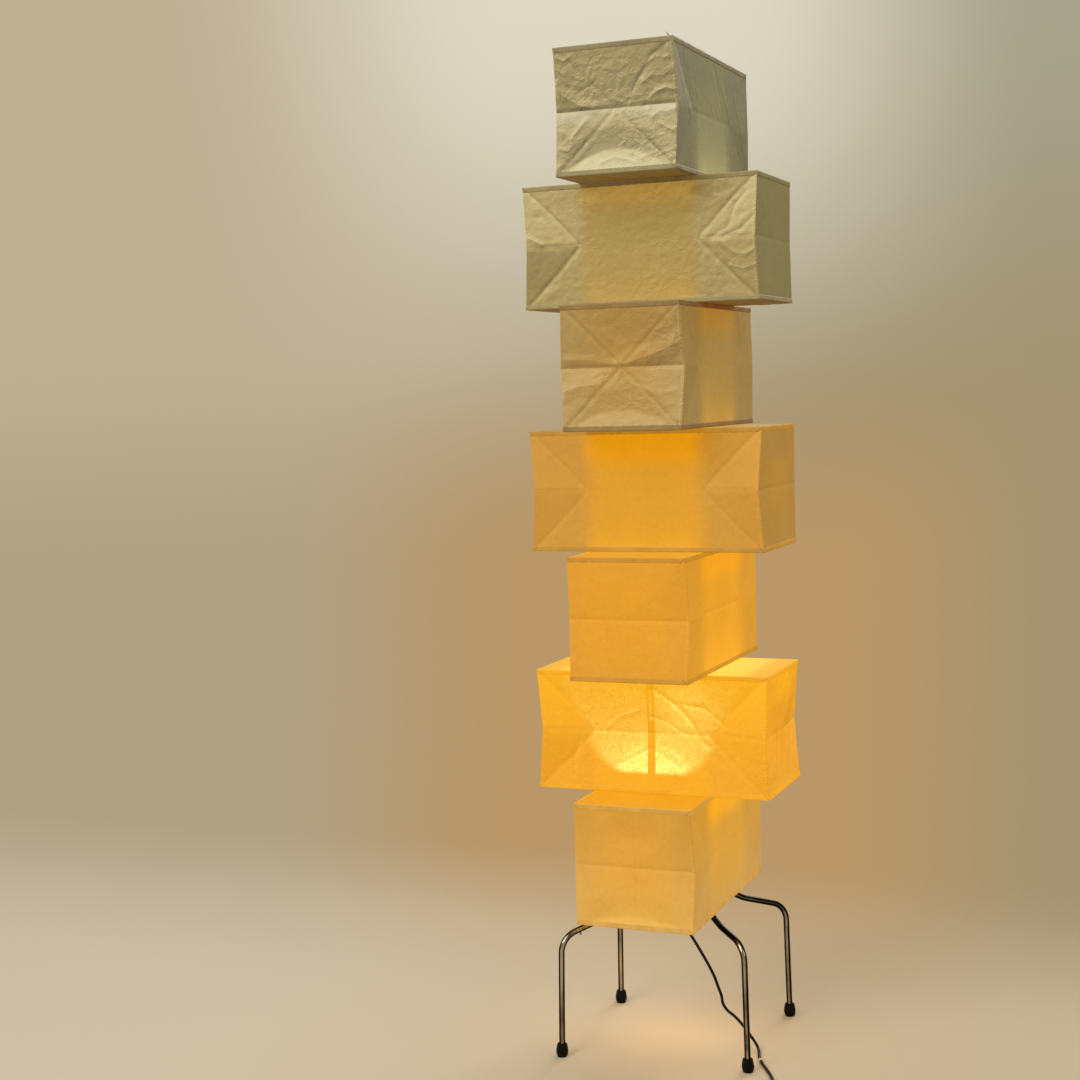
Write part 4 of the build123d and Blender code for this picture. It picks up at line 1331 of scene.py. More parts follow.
    def gather(self, patches: list[bmesh.types.BMesh]) -> bmesh.types.BMesh:
        """Join patches into one mesh, weld them, and give the paper its thickness."""
        bm = bmesh.new()
        for patch in patches:
            mesh = bpy.data.meshes.new("patch")
            patch.to_mesh(mesh)
            patch.free()
            bm.from_mesh(mesh)
            bpy.data.meshes.remove(mesh)
        for face in bm.faces:
            face.smooth = True
        bmesh.ops.remove_doubles(bm, verts=bm.verts[:], dist=0.25 * MM)
        for edge in bm.edges:
            if len(edge.link_faces) == 2 and edge.calc_face_angle(0.0) > math.radians(40):
                edge.smooth = False
        bmesh.ops.solidify(bm, geom=bm.faces[:], thickness=self.thickness)
        return bm

    def build_walls(self, materials: list[bpy.types.Material]) -> bpy.types.Object:
        """Make the four walls and the four wings as one piece."""
        half = self.size.z / 2
        patches = []
        for side in Side:
            reach = self.length(side) / 2
            wall = self.patch(side, (-reach, reach), (-half, half), self.cell)
            for face in wall.faces:
                face.material_index = int(self.length(side) < 2 * self.depth(side))
            patches.append(wall)
        patches += [self.wing(top, end) for top in (False, True) for end in (-1, 1)]
        return add_piece(f"paper_box_{self.number}", self.gather(patches), materials)

    def build_hem(self, top: bool, material: bpy.types.Material) -> bpy.types.Object:
        """Make the strip of paper that is folded over the frame at the top or the bottom."""
        half = self.size.z / 2
        above = (half - self.hem, half) if top else (-half, -half + self.hem)
        torn = Vector((0, 0, -1 if top else 1))
        patches = []
        for side in Side:
            reach = self.length(side) / 2
            patches.append(self.patch(side, (-reach, reach), above, 3 * MM, 0.3 * MM, self.lip, torn))
        name = f"hem_{self.number}_{'top' if top else 'bottom'}"
        return add_piece(name, self.gather(patches), [material])

    def build_seam(self, side: Side, material: bpy.types.Material) -> bpy.types.Object:
        """Make the glued overlap along the right end of a wall."""
        half = self.size.z / 2 - self.hem * 0.5
        reach = self.length(side) / 2
        strip = self.patch(side, (reach - self.seam, reach), (-half, half), 1.8 * MM, 0.4 * MM, 0.0, Vector((-1, 0, 0)))
        return add_piece(f"seam_{self.number}_{side.name.lower()}", self.gather([strip]), [material])


def paper_finishes() -> dict[int, PaperFinish]:
    """How the light of the bulb colours each storey, from the bottom."""
    return {
        1: PaperFinish(
            GlowTones((210, 164, 90), (217, 162, 70), (222, 164, 66), (251, 176, 50), (205, 162, 90), 0.086, 0.146),
            GlowTones((224, 172, 84), (213, 156, 68), (229, 167, 70), (217, 157, 62), (234, 182, 88), 0.02, 0.112),
            ((241, 167, 44), (240, 168, 52)),
            (216, 165, 84),
            Folds(0.1, 0.1, 0.3, 0.3, 0.04, 0.03, 0.08, 0.5, 0.15),
            Folds(0.1, 0.1, 0.7, 0.7, 0.05, 0.03, 0.10, 0.7, 0.15),
            0.34,
        ),
        2: PaperFinish(
            GlowTones((240, 165, 44), (253, 178, 38), (250, 173, 32), (252, 178, 34), (247, 169, 38)),
            GlowTones((237, 163, 46), (245, 171, 42), (238, 163, 42), (251, 174, 36), (235, 168, 56), 0.03, 0.112),
            ((254, 202, 55), (253, 180, 46)),
            (246, 170, 42),
            Folds(0.3, 0.3, 0.5, 0.6, 0.06, -0.05, 0.22, 0.6, 0.35, -0.10),
            Folds(0.2, 0.2, 0.3, 0.3, 0.05, -0.03, 0.20, 0.9, 0.30),
            0.12,
            direct=1.0,
        ),
        3: PaperFinish(
            GlowTones((224, 159, 58), (221, 157, 58), (235, 163, 46), (248, 167, 42), (255, 178, 48), 0.078, 0.165),
            GlowTones((225, 155, 53), (227, 157, 52), (232, 161, 44), (232, 161, 49), (225, 156, 53), 0.05, 0.114),
            ((236, 168, 56), (230, 168, 66)),
            (200, 140, 54),
            Folds(0.0, 0.0, 0.0, 0.8, 0.05, 0.05, 0.10, 0.5, 0.15),
            Folds(0.1, 0.1, 0.9, 0.9, 0.04, 0.03, 0.14, 0.7, 0.20),
            0.22,
        ),
        4: PaperFinish(
            GlowTones((209, 154, 66), (207, 152, 66), (223, 157, 50), (234, 160, 26), (240, 172, 50), 0.086, 0.138),
            GlowTones((184, 142, 76), (182, 142, 76), (190, 147, 72), (180, 141, 76), (185, 145, 78), 0.03, 0.112),
            ((205, 160, 84), (176, 146, 88)),
            (192, 144, 68),
            Folds(0.7, 0.7, 0.7, 0.0, 0.06, 0.12, 0.12, 0.9, 0.20),
            Folds(0.3, 0.3, 0.8, 0.8, 0.02, 0.08, 0.10, 0.3, 0.20),
            0.40,
            band_start=0.70,
        ),
        5: PaperFinish(
            GlowTones((171, 146, 91), (170, 143, 88), (169, 138, 76), (180, 139, 68), (206, 160, 74), 0.078, 0.146),
            GlowTones((180, 149, 91), (176, 148, 90), (182, 144, 78), (176, 140, 75), (188, 157, 99), 0.03, 0.112),
            ((172, 136, 66), (160, 130, 78)),
            (140, 115, 68),
            Folds(0.0, 0.0, 0.1, 0.1, 0.06, 0.03, 0.20, 0.5, 0.30),
            Folds(0.7, 0.9, 0.8, 0.8, 0.11, 0.12, 0.36, 1.5, 0.60, 0.0),
            0.55,
        ),
        6: PaperFinish(
            GlowTones((174, 155, 100), (184, 166, 114), (172, 147, 85), (190, 158, 90), (198, 163, 86), 0.090, 0.134),
            GlowTones((150, 140, 83), (153, 143, 87), (154, 144, 88), (154, 143, 87), (150, 140, 84), 0.03, 0.112),
            ((160, 131, 78), (158, 131, 80)),
            (156, 142, 95),
            Folds(0.9, 0.9, 0.9, 0.0, 0.13, 0.18, 0.26, 2.1, 0.70, 0.0),
            Folds(0.0, 0.0, 0.2, 0.2, 0.05, 0.04, 0.12, 0.8, 0.30),
            0.95,
            band_start=0.79,
        ),
        7: PaperFinish(
            GlowTones((138, 132, 89), (139, 133, 90), (146, 138, 92), (140, 134, 89), (187, 175, 115), 0.072, 0.152),
            GlowTones((166, 153, 109), (165, 152, 106), (166, 154, 109), (168, 155, 107), (188, 178, 137), 0.03, 0.112),
            ((150, 128, 76), (152, 130, 80)),
            (150, 137, 95),
            Folds(0.1, 0.1, 0.25, 0.2, 0.05, 0.04, 0.14, 1.2, 0.35),
            Folds(0.4, 1.0, 1.0, 1.0, 0.21, 0.16, 0.62, 1.9, 0.95, -0.03, 0.52),
            1.15,
        ),
    }


def box_shapes() -> dict[int, BoxShape]:
    """How each storey folds and crumples, from the bottom."""
    front, right = Side.FRONT, Side.RIGHT
    return {
        1: BoxShape(((3, 1), (6, 6), (5, 2), (5, 3)), 1.5, 1.5, 0.20, 0.20, 4.5, curl=2.2, curl_height=24),
        2: BoxShape(
            ((11, 5), (3, 3), (11, 4), (6, 4)),
            7.0,
            3.0,
            0.35,
            0.45,
            3.2,
            wrinkles=(
                Wrinkle(front, ((7, 87), (60, 50), (87, 18), (100, -11), (118, -22)), -1.8, 7),
                Wrinkle(front, ((2, 32), (33, 23), (60, 5), (85, 0)), -1.0, 6),
                Wrinkle(front, ((-150, -20), (-165, -60), (-160, -90)), -0.8, 7),
                Wrinkle(front, ((60, 60), (110, 52), (150, 20)), -1.0, 7),
                Wrinkle(front, ((-62, -62), (0, -28), (60, -64)), -0.9, 6),
                Wrinkle(front, ((-90, 6), (-62, 30), (-20, 44)), 0.8, 7),
                Wrinkle(right, ((-62, 70), (-50, 0), (-66, -80)), 1.1, 8),
                Wrinkle(right, ((-92, 90), (-84, 10), (-96, -70)), -0.9, 7),
                Wrinkle(right, ((30, 95), (42, 15), (20, -60)), 0.8, 10),
            ),
        ),
        3: BoxShape(((4, 0), (7, 7), (5, 2), (5, 3)), 1.5, 2.5, 0.3, 0.3, 4.5),
        4: BoxShape(((8, 5), (8, 6), (2, 3), (6, 4)), 0.5, 1.2, 0.28, 0.3, 4.5),
        5: BoxShape(
            ((6, 4), (8, 7), (4, 3), (6, 4)),
            1.0,
            4.5,
            0.40,
            0.25,
            3.1,
            curl=2.2,
            curl_height=38,
            wrinkles=(
                Wrinkle(front, ((4, 5), (60, 22), (113, 44)), 1.9, 22),
                Wrinkle(front, ((-112, 17), (-60, 14), (-8, 4)), 0.7, 11),
                Wrinkle(front, ((-48, -30), (-84, -34), (-113, -44)), 1.7, 24),
                Wrinkle(front, ((18, -30), (60, -48), (98, -46)), 0.4, 9),
                Wrinkle(front, ((-45, 92), (-20, 50)), 0.7, 8),
                Wrinkle(front, ((82, 96), (104, 60), (96, 40)), 0.8, 8),
                Wrinkle(right, ((150, 100), (168, 30), (154, -60)), 1.2, 12),
                Wrinkle(right, ((190, 90), (206, 10), (196, -90)), 1.0, 10),
                Wrinkle(right, ((-150, 60), (-128, -10), (-140, -80)), 0.8, 12),
            ),
        ),
        6: BoxShape(
            ((8, 8.5), (5, 5.5), (3, 3), (6, 5)),
            0.5,
            3.0,
            0.55,
            0.25,
            3.1,
            wrinkles=(
                Wrinkle(front, ((146, 2), (178, 20), (192, 60), (214, 84)), -0.6, 8),
                Wrinkle(front, ((170, 3), (204, 14), (230, 38)), -0.7, 8),
                Wrinkle(front, ((160, -6), (186, -28), (212, -34), (230, -24)), 0.6, 7),
                Wrinkle(front, ((178, -52), (206, -60), (230, -52)), 0.5, 6),
                Wrinkle(front, ((-229, 20), (-200, 6)), 0.9, 7),
            ),
        ),
        7: BoxShape(
            ((8, -1), (8, 5), (4, 3), (6, 4)),
            2.0,
            8.0,
            0.50,
            0.22,
            3.0,
            curl=5.4,
            curl_height=44,
            wrinkles=(
                Wrinkle(front, ((106, 108), (72, 86), (39, 38), (22, 8)), -0.8, 7),
                Wrinkle(front, ((-40, 3), (-70, 10), (-98, 28), (-115, 50)), 2.0, 15),
                Wrinkle(front, ((66, 14), (80, 24), (96, 28), (114, 22)), 1.3, 7),
                Wrinkle(front, ((52, 40), (70, 52), (92, 50), (113, 62)), 0.8, 7),
                Wrinkle(front, ((58, 70), (80, 84), (110, 80)), 0.6, 6),
                Wrinkle(front, ((70, -22), (82, -12), (96, -14), (114, -8)), 1.1, 7),
                Wrinkle(front, ((84, -34), (98, -44), (114, -50)), 1.0, 6),
                Wrinkle(front, ((-104, -36), (-88, -52), (-72, -34), (-56, -16)), 1.1, 8),
                Wrinkle(front, ((-110, -66), (-92, -72), (-84, -60)), 0.7, 6),
                Wrinkle(front, ((-113, 100), (-96, 92), (-86, 98)), 0.9, 6),
                Wrinkle(front, ((-113, 78), (-98, 70), (-92, 54)), 0.7, 7),
                Wrinkle(front, ((-40, 58), (-16, 72), (10, 66), (26, 78)), 0.5, 7),
                Wrinkle(front, ((-70, 34), (-44, 44), (-22, 32), (-4, 38)), -0.5, 7),
                Wrinkle(front, ((-10, 18), (12, 10), (30, 18)), 0.5, 6),
                Wrinkle(front, ((-60, 84), (-46, 70), (-50, 50)), 0.5, 7),
                Wrinkle(front, ((-30, -96), (0, -88), (34, -98)), 0.6, 6),
                Wrinkle(front, ((30, -84), (52, -92), (70, -86)), 0.5, 6),
                Wrinkle(right, ((-226, 96), (-176, 30), (-128, -14)), 0.4, 8),
                Wrinkle(right, ((-178, 98), (-160, 20), (-146, -50)), -0.3, 9),
                Wrinkle(right, ((-150, -2), (-118, 12), (-90, 6)), 0.35, 7),
                Wrinkle(right, ((60, 70), (110, 20), (140, -30)), 0.4, 9),
                Wrinkle(right, ((20, 90), (66, 20), (90, -60)), -0.3, 9),
                Wrinkle(right, ((150, 60), (186, 10), (206, -50)), 0.35, 9),
            ),
        ),
    }


@dataclass
class PaperShade:
    """The seven storeys of the shade and what shows of their frames."""

    frame: dict
    groups: Groups
    finishes: Finishes
    storeys: int = 7
    travel: float = 200 * MM  # that a storey loses in height when it folds flat

    def dress_storey(self, number: int, paper: PaperFinish, shape: BoxShape) -> None:
        """Make one storey's paper, hems and seam, and let them move with its frames.

        Args:
            number: the storey, from the bottom.
            paper: its finish.
            shape: its folds and creases.
        """
        low, high = (Vector(corner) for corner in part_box(f"paper_storey_{number}"))
        storey = Storey(number, low, high, shape)
        wall, end, wing, hem, strip = (paper.build(self.groups, number, low.z, storey.size.z, part) for part in PaperPart)
        above = "stand" if number == self.storeys else f"junction_{number}"
        below = "shade_foot" if number == 1 else f"junction_{number - 1}"
        box = storey.build_walls([wall, end, wing])
        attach(box, above)
        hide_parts(f"paper_storey_{number}")
        seam = storey.build_seam(Side.FRONT, strip)
        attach(seam, above)
        for piece in (box, seam):
            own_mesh(piece)
        for top, body in ((True, above), (False, below)):
            trim = storey.build_hem(top, hem)
            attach(trim, body)

    def build_loose_thread(self) -> None:
        """Leave the end of a binding thread standing at the top front edge."""
        bm = bmesh.new()
        bmesh.ops.create_circle(bm, cap_ends=True, segments=8, radius=0.75 * MM)
        tip = bm.faces[:]
        bmesh.ops.translate(bm, vec=Vector((107, -229, 1919.5)) * MM, verts=bm.verts[:])
        for step, width in (((-0.6, 0.4, 4.5), 1.0), ((-1.6, 0.6, 4.2), 1.25), ((-2.8, 0.3, 3.0), 0.85), ((-2.2, -0.6, 0.9), 0.5)):
            grown = bmesh.ops.extrude_discrete_faces(bm, faces=tip)
            tip = grown["faces"]
            verts = tip[0].verts[:]
            bmesh.ops.translate(bm, vec=Vector(step) * MM, verts=verts)
            centre = tip[0].calc_center_median()
            bmesh.ops.scale(bm, vec=(width,) * 3, space=Matrix.Translation(-centre), verts=verts)
        bmesh.ops.recalc_face_normals(bm, faces=bm.faces[:])
        shade_smooth(bm, 60.0)
        thread = add_piece("loose_thread", bm, [self.finishes.get(Finish.DARK_THREAD)])
        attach(thread, "stand")

    def build(self) -> None:
        """Dress the seven storeys, their frames and their ties."""
        papers, shapes = paper_finishes(), box_shapes()
        for number in range(1, self.storeys + 1):
            self.dress_storey(number, papers[number], shapes[number])
            for edge in ("bottom", "top"):
                dress_node(self.frame, f"frame_{number}_{edge}", self.finishes.get(Finish.WIRE))
        for number in range(1, self.storeys):
            dress_node(self.frame, f"ties_{number}", self.finishes.get(Finish.THREAD))
        for node in ("bottom_cross_wires", "top_cross_wires"):
            dress_node(self.frame, node, self.finishes.get(Finish.WIRE))
        self.build_loose_thread()


# ---------------------------------------------------------------- stand and light


@dataclass
class Stand:
    """The legs with their tips, the hub and the stretcher."""

    frame: dict
    finishes: Finishes

    def build(self) -> None:
        """Dress each piece of the stand."""
        for name in ("front_left", "front_right", "rear_right", "rear_left"):
            smooth_copy(self.frame, f"leg_{name}", self.finishes.get(Finish.CHROME), "stand")
        finishes = {
            "foot_tips": Finish.RUBBER,
            "hub": Finish.ENAMEL,
            "leg_screws": Finish.SCREW,
            "bar_screws": Finish.SCREW,
            "stretcher_base_bar": Finish.STEEL,
            "stretcher_lower_rods": Finish.STEEL,
            "stretcher_upper_rods": Finish.STEEL,
            "splice_sleeves": Finish.STEEL,
            "top_bridge": Finish.STEEL,
        }
        for node, finish in finishes.items():
            smooth_copy(self.frame, node, self.finishes.get(finish), "stand")


@dataclass
class Light:
    """The lampholder, the bulb and what fixes them to the hub."""

    frame: dict
    finishes: Finishes

    def build(self) -> None:
        """Dress each piece of the light."""
        finishes = {
            "nipple": Finish.BRASS,
            "nipple_nut": Finish.BRASS,
            "cord_gland": Finish.SHEATH,
            "holder_cap": Finish.BAKELITE,
            "holder_body": Finish.BAKELITE,
            "holder_contacts": Finish.BRASS,
            "bulb_cap": Finish.ALLOY,
            "bulb_glass": Finish.BULB,
        }
        for node, finish in finishes.items():
            smooth_copy(self.frame, node, self.finishes.get(finish), "stand")


# ---------------------------------------------------------------- cord


@dataclass
class MainsCord:
    """The twin cord, drawn round, its coil of spare length, its switch and its plug."""

    frame: dict
    finishes: Finishes
    width: float = 5.8 * MM
    band_from: float = 0.0795  # where the band of tape lies, towards the front
    band_to: float = 0.0915
    length: float = 2.04
    coil_centre: tuple[float, float] = (175.0, -300.0)
    coil_radii: tuple[float, ...] = (37.9, 32.0, 26.1, 26.1, 32.0, 37.9)
    coil_levels: tuple[float, ...] = (4.4, 4.4, 4.4, 10.3, 10.3, 10.3)
    coil_points: int = 16  # in each turn
    coil_start: float = -77.0  # heading from the coil's centre, in degrees
    coil_end: float = -94.5

    def route(self) -> list[tuple[float, float, float]]:
        """The cord's points in millimetres, from the gland to the coil."""
        return [
            (0.0, 0.0, 274.0),
            (0.0, 0.0, 251.0),
            (30.0, -3.8, 221.0),
            (58.0, -7.0, 180.0),
            (84.0, -10.3, 138.0),
            (93.0, -11.5, 113.0),
            (100.0, -12.3, 97.0),
            (101.0, -12.4, 82.0),
            (111.0, -13.7, 68.5),
            (126.0, -15.5, 60.5),
            (143.0, -17.5, 45.0),
            (162.0, -20.5, 23.0),
            (174.0, -25.0, 9.5),
            (182.0, -39.0, 3.0),
            (188.0, -62.0, 3.0),
            (197.0, -84.0, 3.0),
            (208.0, -104.0, 3.0),
            (224.0, -130.0, 3.0),
            (243.0, -165.0, 3.0),
            (255.0, -197.0, 3.0),
            (261.6, -234.4, 5.0),
            (274.1, -305.3, 5.0),
            (268.0, -340.5, 3.4),
            (243.0, -358.0, 3.0),
            (211.0, -349.0, 3.4),
        ]

    def tail(self) -> list[tuple[float, float, float]]:
        """The cord's points in millimetres, from the coil to the plug."""
        return [
            (147.0, -341.0, 8.4),
            (124.5, -331.0, 7.2),
            (100.0, -331.0, 7.2),
        ]

    def coil(self) -> list[tuple[float, float, float]]:
        """The points of the wound turns, clockwise, in below and out on top."""
        x, y = self.coil_centre
        sweep = len(self.coil_radii) * 360.0 + (self.coil_start - self.coil_end)
        count = round(sweep / 360.0 * self.coil_points)
        last = len(self.coil_radii) - 1
        points = []
        for step in range(count + 1):
            turn = step / self.coil_points
            number = min(int(turn), last)
            after = min(number + 1, last)
            share = min(max((turn - number - 0.78) / 0.22, 0.0), 1.0)
            radius = self.coil_radii[number] + share * (self.coil_radii[after] - self.coil_radii[number])
            level = self.coil_levels[number] + share * (self.coil_levels[after] - self.coil_levels[number])
            heading = math.radians(self.coil_start - sweep * step / count)
            points.append((x + radius * math.cos(heading), y + radius * math.sin(heading), level))
        return points

    def centreline(self, cord: bpy.types.Object) -> list[Vector]:
        """The points of the cord's own line, in order."""
        bare = cord.copy()
        bare.data = cord.data.copy()
        bare.data.bevel_depth = 0.0
        bare.data.bevel_resolution = 0
        bare.data.use_fill_caps = False
        bpy.context.scene.collection.objects.link(bare)
        bpy.context.view_layer.update()
        mesh = bpy.data.meshes.new_from_object(bare)
        points = [vert.co.copy() for vert in mesh.vertices]
        curve = bare.data
        bpy.data.objects.remove(bare)
        bpy.data.curves.remove(curve)
        bpy.data.meshes.remove(mesh)
        return points

    def build_band(self, cord: bpy.types.Object) -> bpy.types.Object:
        """Wind the light band of tape round the cord where it lies on the floor."""
        points = [point for point in self.centreline(cord) if point.z < 0.010 and self.band_from < -point.y < self.band_to]
        bm = bmesh.new()
        rings = []
        for index, point in enumerate(points):
            ahead = points[min(index + 1, len(points) - 1)] - points[max(index - 1, 0)]
            turn = ahead.to_track_quat("Z", "Y").to_matrix().to_4x4()
            swell = 1.0 * MM if 0 < index < len(points) - 1 else 0.5 * MM
            place = Matrix.Translation(point + Vector((0, 0, swell))) @ turn
            made = bmesh.ops.create_circle(bm, segments=18, radius=self.width / 2 + swell, matrix=place)
            rings.append(made["verts"])
        bmesh.ops.bridge_loops(bm, edges=bm.edges[:])
        bmesh.ops.recalc_face_normals(bm, faces=bm.faces[:])
        bmesh.ops.solidify(bm, geom=bm.faces[:], thickness=0.3 * MM)
        shade_smooth(bm, 50.0)
        band = add_piece("cord_band", bm, [self.finishes.get(Finish.TAPE)])
        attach(band, "stand")
        return band

    def build(self) -> bpy.types.Object:
        """Returns:
            The cord.
        """
        points = self.route() + self.coil() + self.tail()
        curve = bpy.data.curves.new("mains_cord", "CURVE")
        curve.dimensions = "3D"
        curve.twist_mode = "Z_UP"
        curve.resolution_u = 8
        spline = curve.splines.new("NURBS")
        spline.points.add(len(points) - 1)
        for point, place in zip(spline.points, points):
            point.co = (*(Vector(place) * MM), 1.0)
        spline.order_u = 3
        spline.use_endpoint_u = True
        spline.resolution_u = 8
        curve.bevel_mode = "ROUND"
        curve.bevel_depth = self.width / 2
        curve.bevel_resolution = 4
        curve.use_fill_caps = True
        curve.materials.append(self.finishes.get(Finish.SHEATH))
        cord = bpy.data.objects.new("mains_cord", curve)
        bpy.context.scene.collection.objects.link(cord)
        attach(cord, "stand")
        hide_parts("cord", "cord_coil", "cord_tail")
        pieces = [*self.dress_fittings(), self.build_band(cord)]
        return cord

    def dress_fittings(self) -> list[bpy.types.Object]:
        """Dress the switch, the plug and the coil's tie, and return them."""
        pieces = []
        for node, finish, body in (
            ("switch_base", Finish.MOULDING, "stand"),
            ("switch_cover", Finish.MOULDING, "stand"),
            ("switch_rocker", Finish.BAKELITE, "rocker"),
            ("switch_screws", Finish.SCREW, "stand"),
            ("plug_body", Finish.PLUG, "stand"),
            ("plug_blades", Finish.BRASS, "stand"),
            ("cord_tie", Finish.PLUG, "stand"),
        ):
            pieces.append(smooth_copy(self.frame, node, self.finishes.get(finish), body))
        return pieces


# ---------------------------------------------------------------- studio


@dataclass(frozen=True)
class Viewpoint:
    """Where the camera stands and how it is turned, in degrees."""

    place: tuple[float, float, float] = (1.1364, -3.3491, 1.2982)
    yaw: float = -22.730  # from +Y towards +X
    pitch: float = -4.702
    roll: float = -1.668
    focal_pixels: float = 1801.2
    frame_pixels: float = 1080.0
    sensor: float = 36.0  # mm

    def build(self) -> bpy.types.Object:
        """Add the camera and make it the scene's."""
        yaw, pitch, roll = (math.radians(angle) for angle in (self.yaw, self.pitch, self.roll))
        forward = Vector((math.sin(yaw) * math.cos(pitch), math.cos(yaw) * math.cos(pitch), math.sin(pitch)))
        right = Vector((math.cos(yaw), -math.sin(yaw), 0.0))
        up = right.cross(forward)
        across = right * math.cos(roll) + up * math.sin(roll)
        upward = up * math.cos(roll) - right * math.sin(roll)
        turn = Matrix((across, upward, -forward)).transposed()
        data = bpy.data.cameras.new("camera")
        data.sensor_width = self.sensor
        data.lens = self.focal_pixels * self.sensor / self.frame_pixels
        data.clip_end = 60.0
        camera = bpy.data.objects.new("camera", data)
        camera.matrix_world = Matrix.Translation(self.place) @ turn.to_4x4()
        bpy.context.scene.collection.objects.link(camera)
        bpy.context.scene.camera = camera
        return camera


@dataclass(frozen=True)
class Softbox:
    """A soft studio lamp."""

    name: str
    place: tuple[float, float, float]
    aim: tuple[float, float, float]
    size: float
    power: float
    colour: tuple[float, float, float] = (1.0, 1.0, 1.0)

    def build(self) -> None:
        """Add the lamp to the scene."""
        data = bpy.data.lights.new(self.name, "AREA")
        data.shape = "SQUARE"
        data.size = self.size
        data.energy = self.power
        data.color = self.colour
        lamp = bpy.data.objects.new(self.name, data)
        towards = Vector(self.aim) - Vector(self.place)
        lamp.matrix_world = Matrix.Translation(self.place) @ towards.to_track_quat("-Z", "Y").to_matrix().to_4x4()
        bpy.context.scene.collection.objects.link(lamp)


@dataclass(frozen=True)
class Backdrop:
    """The even wall behind the lamp, with painted light above it and a painted warm glow of the lamp beside it."""

    left_low: Colour = tone(176, 160, 131)
    left_high: Colour = tone(190, 175, 147)
    right_low: Colour = tone(163, 147, 113)
    right_high: Colour = tone(167, 163, 140)
    lamp_glow: Colour = tone(185, 151, 105)
    light: Colour = tone(223, 216, 195)

    def near(self, shader: Shader, across: Socket, middle: float, full: float, none: float) -> Socket:
        """1 in the direction of the lamp, 0 well to either side."""
        away = shader.math("ABSOLUTE", shader.math("SUBTRACT", across, middle))
        return shader.step(away, full, none, 1.0, 0.0)

    def build(self, shader: Shader) -> Socket:
        """The colour of the wall by the direction that it is seen in."""
        heading = shader.add("SeparateXYZ")
        shader.feed(heading.inputs[0], shader.add("TexCoord").outputs["Generated"])
        across, up = heading.outputs[0], heading.outputs[2]
        rise = shader.step(up, -0.10, 0.03)
        high = shader.step(up, -0.03, 0.21)
        left = shader.mix(rise, self.left_low, self.left_high)
        right = shader.mix(high, self.right_low, self.right_high)
        colour = shader.mix(shader.step(across, -0.50, -0.18), left, right)
        # painted warm glow of the lamp on the wall beside it, and a painted pool of light above it
        lamp_glow = shader.math("MULTIPLY", self.near(shader, across, -0.31, 0.08, 0.21), shader.math("SUBTRACT", 1.0, rise))
        colour = shader.mix(lamp_glow, colour, self.lamp_glow)
        light = shader.math("MULTIPLY", self.near(shader, across, -0.335, 0.05, 0.22), high)
        return shader.mix(light, colour, self.light)


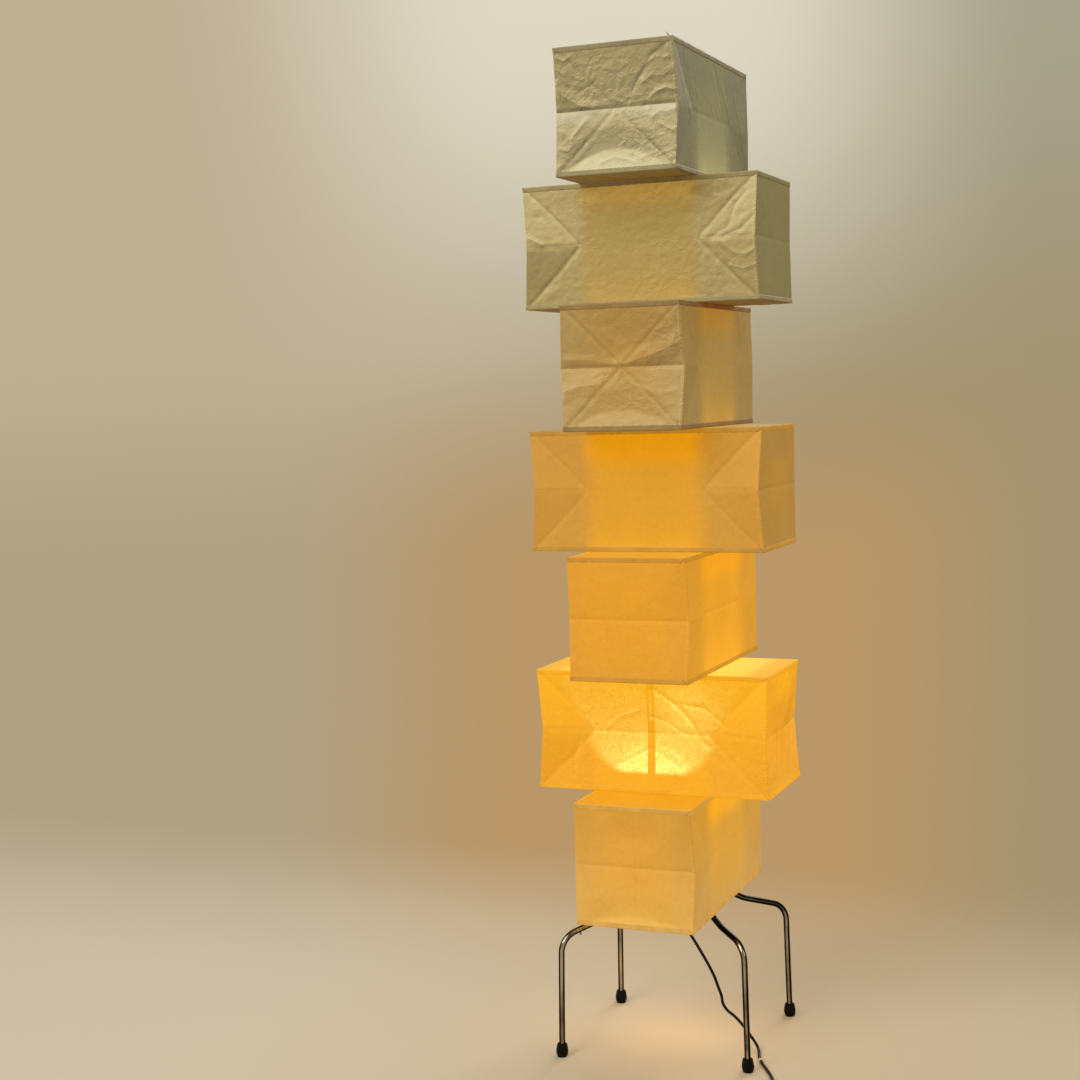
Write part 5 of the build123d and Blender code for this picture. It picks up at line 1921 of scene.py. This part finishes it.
@dataclass
class Studio:
    """The pale floor, the pale surroundings and the soft lamps."""

    floor: Colour = tone(208, 195, 170)
    # painted shade: the floor grows darker towards the right
    shaded_floor_right: Colour = tone(197, 181, 151)
    backdrop: Backdrop = Backdrop()
    ambient: float = 0.52
    clear: tuple[float, float] = (0.0, 1.40)  # along Y, where the floor starts and ends its change to the backdrop
    lamps: tuple[Softbox, ...] = (
        Softbox("key_lamp", (-1.8, -5.3, 4.2), (0.0, 0.0, 1.2), 3.4, 200.0, (1.0, 0.985, 0.96)),
        Softbox("fill_lamp", (4.4, -1.4, 2.6), (0.0, 0.0, 1.0), 2.0, 20.0, (1.0, 0.985, 0.96)),
        Softbox("back_lamp", (0.6, 4.4, 4.0), (0.0, 0.0, 0.9), 2.4, 120.0, (1.0, 0.985, 0.96)),
    )

    def build_spill(self) -> None:
        """Add the little warm light that falls out of the open bottom of the shade."""
        data = bpy.data.lights.new("bulb_spill", "AREA")
        data.shape = "DISK"
        data.size = 0.16
        data.energy = 0.26
        data.color = (1.0, 0.64, 0.20)
        lamp = bpy.data.objects.new("bulb_spill", data)
        lamp.location = (0.0, 0.0, 0.235)
        lamp.visible_camera = False
        lamp.visible_glossy = False
        bpy.context.scene.collection.objects.link(lamp)

    def build_floor(self) -> None:
        """Lay the floor, which keeps the lamp's shadow and fades into the backdrop."""
        bm = bmesh.new()
        bmesh.ops.create_grid(bm, x_segments=1, y_segments=1, size=30.0)
        material, shader = new_material("studio_floor")
        split = shader.add("SeparateXYZ")
        shader.feed(split.inputs[0], shader.add("TexCoord").outputs["Object"])
        diffuse = shader.add("BsdfPrincipled")
        rightward = shader.step(split.outputs[0], -1.1, 0.55)
        shader.feed(diffuse.inputs["Base Color"], shader.mix(rightward, self.floor, self.shaded_floor_right))
        diffuse.inputs["Roughness"].default_value = 0.75
        diffuse.inputs["Specular IOR Level"].default_value = 0.2
        clear = shader.add("BsdfTransparent")
        share = shader.math("MULTIPLY", shader.step(split.outputs[1], *self.clear), self.seen(shader))
        blend = shader.add("MixShader")
        for socket, value in zip(blend.inputs, (share, diffuse.outputs[0], clear.outputs[0])):
            shader.feed(socket, value)
        output = shader.add("OutputMaterial")
        shader.feed(output.inputs["Surface"], blend.outputs[0])
        add_piece("studio_floor", bm, [material])

    def seen(self, shader: Shader) -> Socket:
        """1 for the camera and for rays through glass and off metal, 0 for light."""
        path = shader.add("LightPath").outputs
        seen = shader.math("MAXIMUM", path["Is Camera Ray"], path["Is Glossy Ray"])
        return shader.math("MAXIMUM", seen, path["Is Transmission Ray"])

    def build_world(self) -> None:
        """Light the scene evenly, and show the backdrop to the camera and in metal."""
        world = bpy.data.worlds.new("studio")
        world.use_nodes = True
        shader = Shader(world.node_tree)
        ambient = shader.add("Background")
        ambient.inputs["Color"].default_value = (1.0, 0.985, 0.96, 1.0)
        ambient.inputs["Strength"].default_value = self.ambient
        backdrop = shader.add("Background")
        shader.feed(backdrop.inputs["Color"], self.backdrop.build(shader))
        blend = shader.add("MixShader")
        for socket, value in zip(blend.inputs, (self.seen(shader), ambient.outputs[0], backdrop.outputs[0])):
            shader.feed(socket, value)
        output = shader.add("OutputWorld")
        shader.feed(output.inputs["Surface"], blend.outputs[0])
        bpy.context.scene.world = world

    def build(self) -> None:
        """Set up the floor, the world, the lamps and the plain view transform."""
        self.build_floor()
        self.build_world()
        for lamp in self.lamps:
            lamp.build()
        self.build_spill()
        bpy.context.scene.view_settings.view_transform = "Standard"


def main() -> None:
    """Build the lamp's looks around the frame."""
    logging.basicConfig(level=logging.INFO, format="%(message)s")
    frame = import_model()
    Viewpoint().build()
    Studio().build()
    groups = Groups.build()
    finishes = Finishes(groups)
    MainsCord(frame, finishes).build()
    PaperShade(frame, groups, finishes).build()
    Stand(frame, finishes).build()
    Light(frame, finishes).build()


if __name__ == "__main__":
    main()
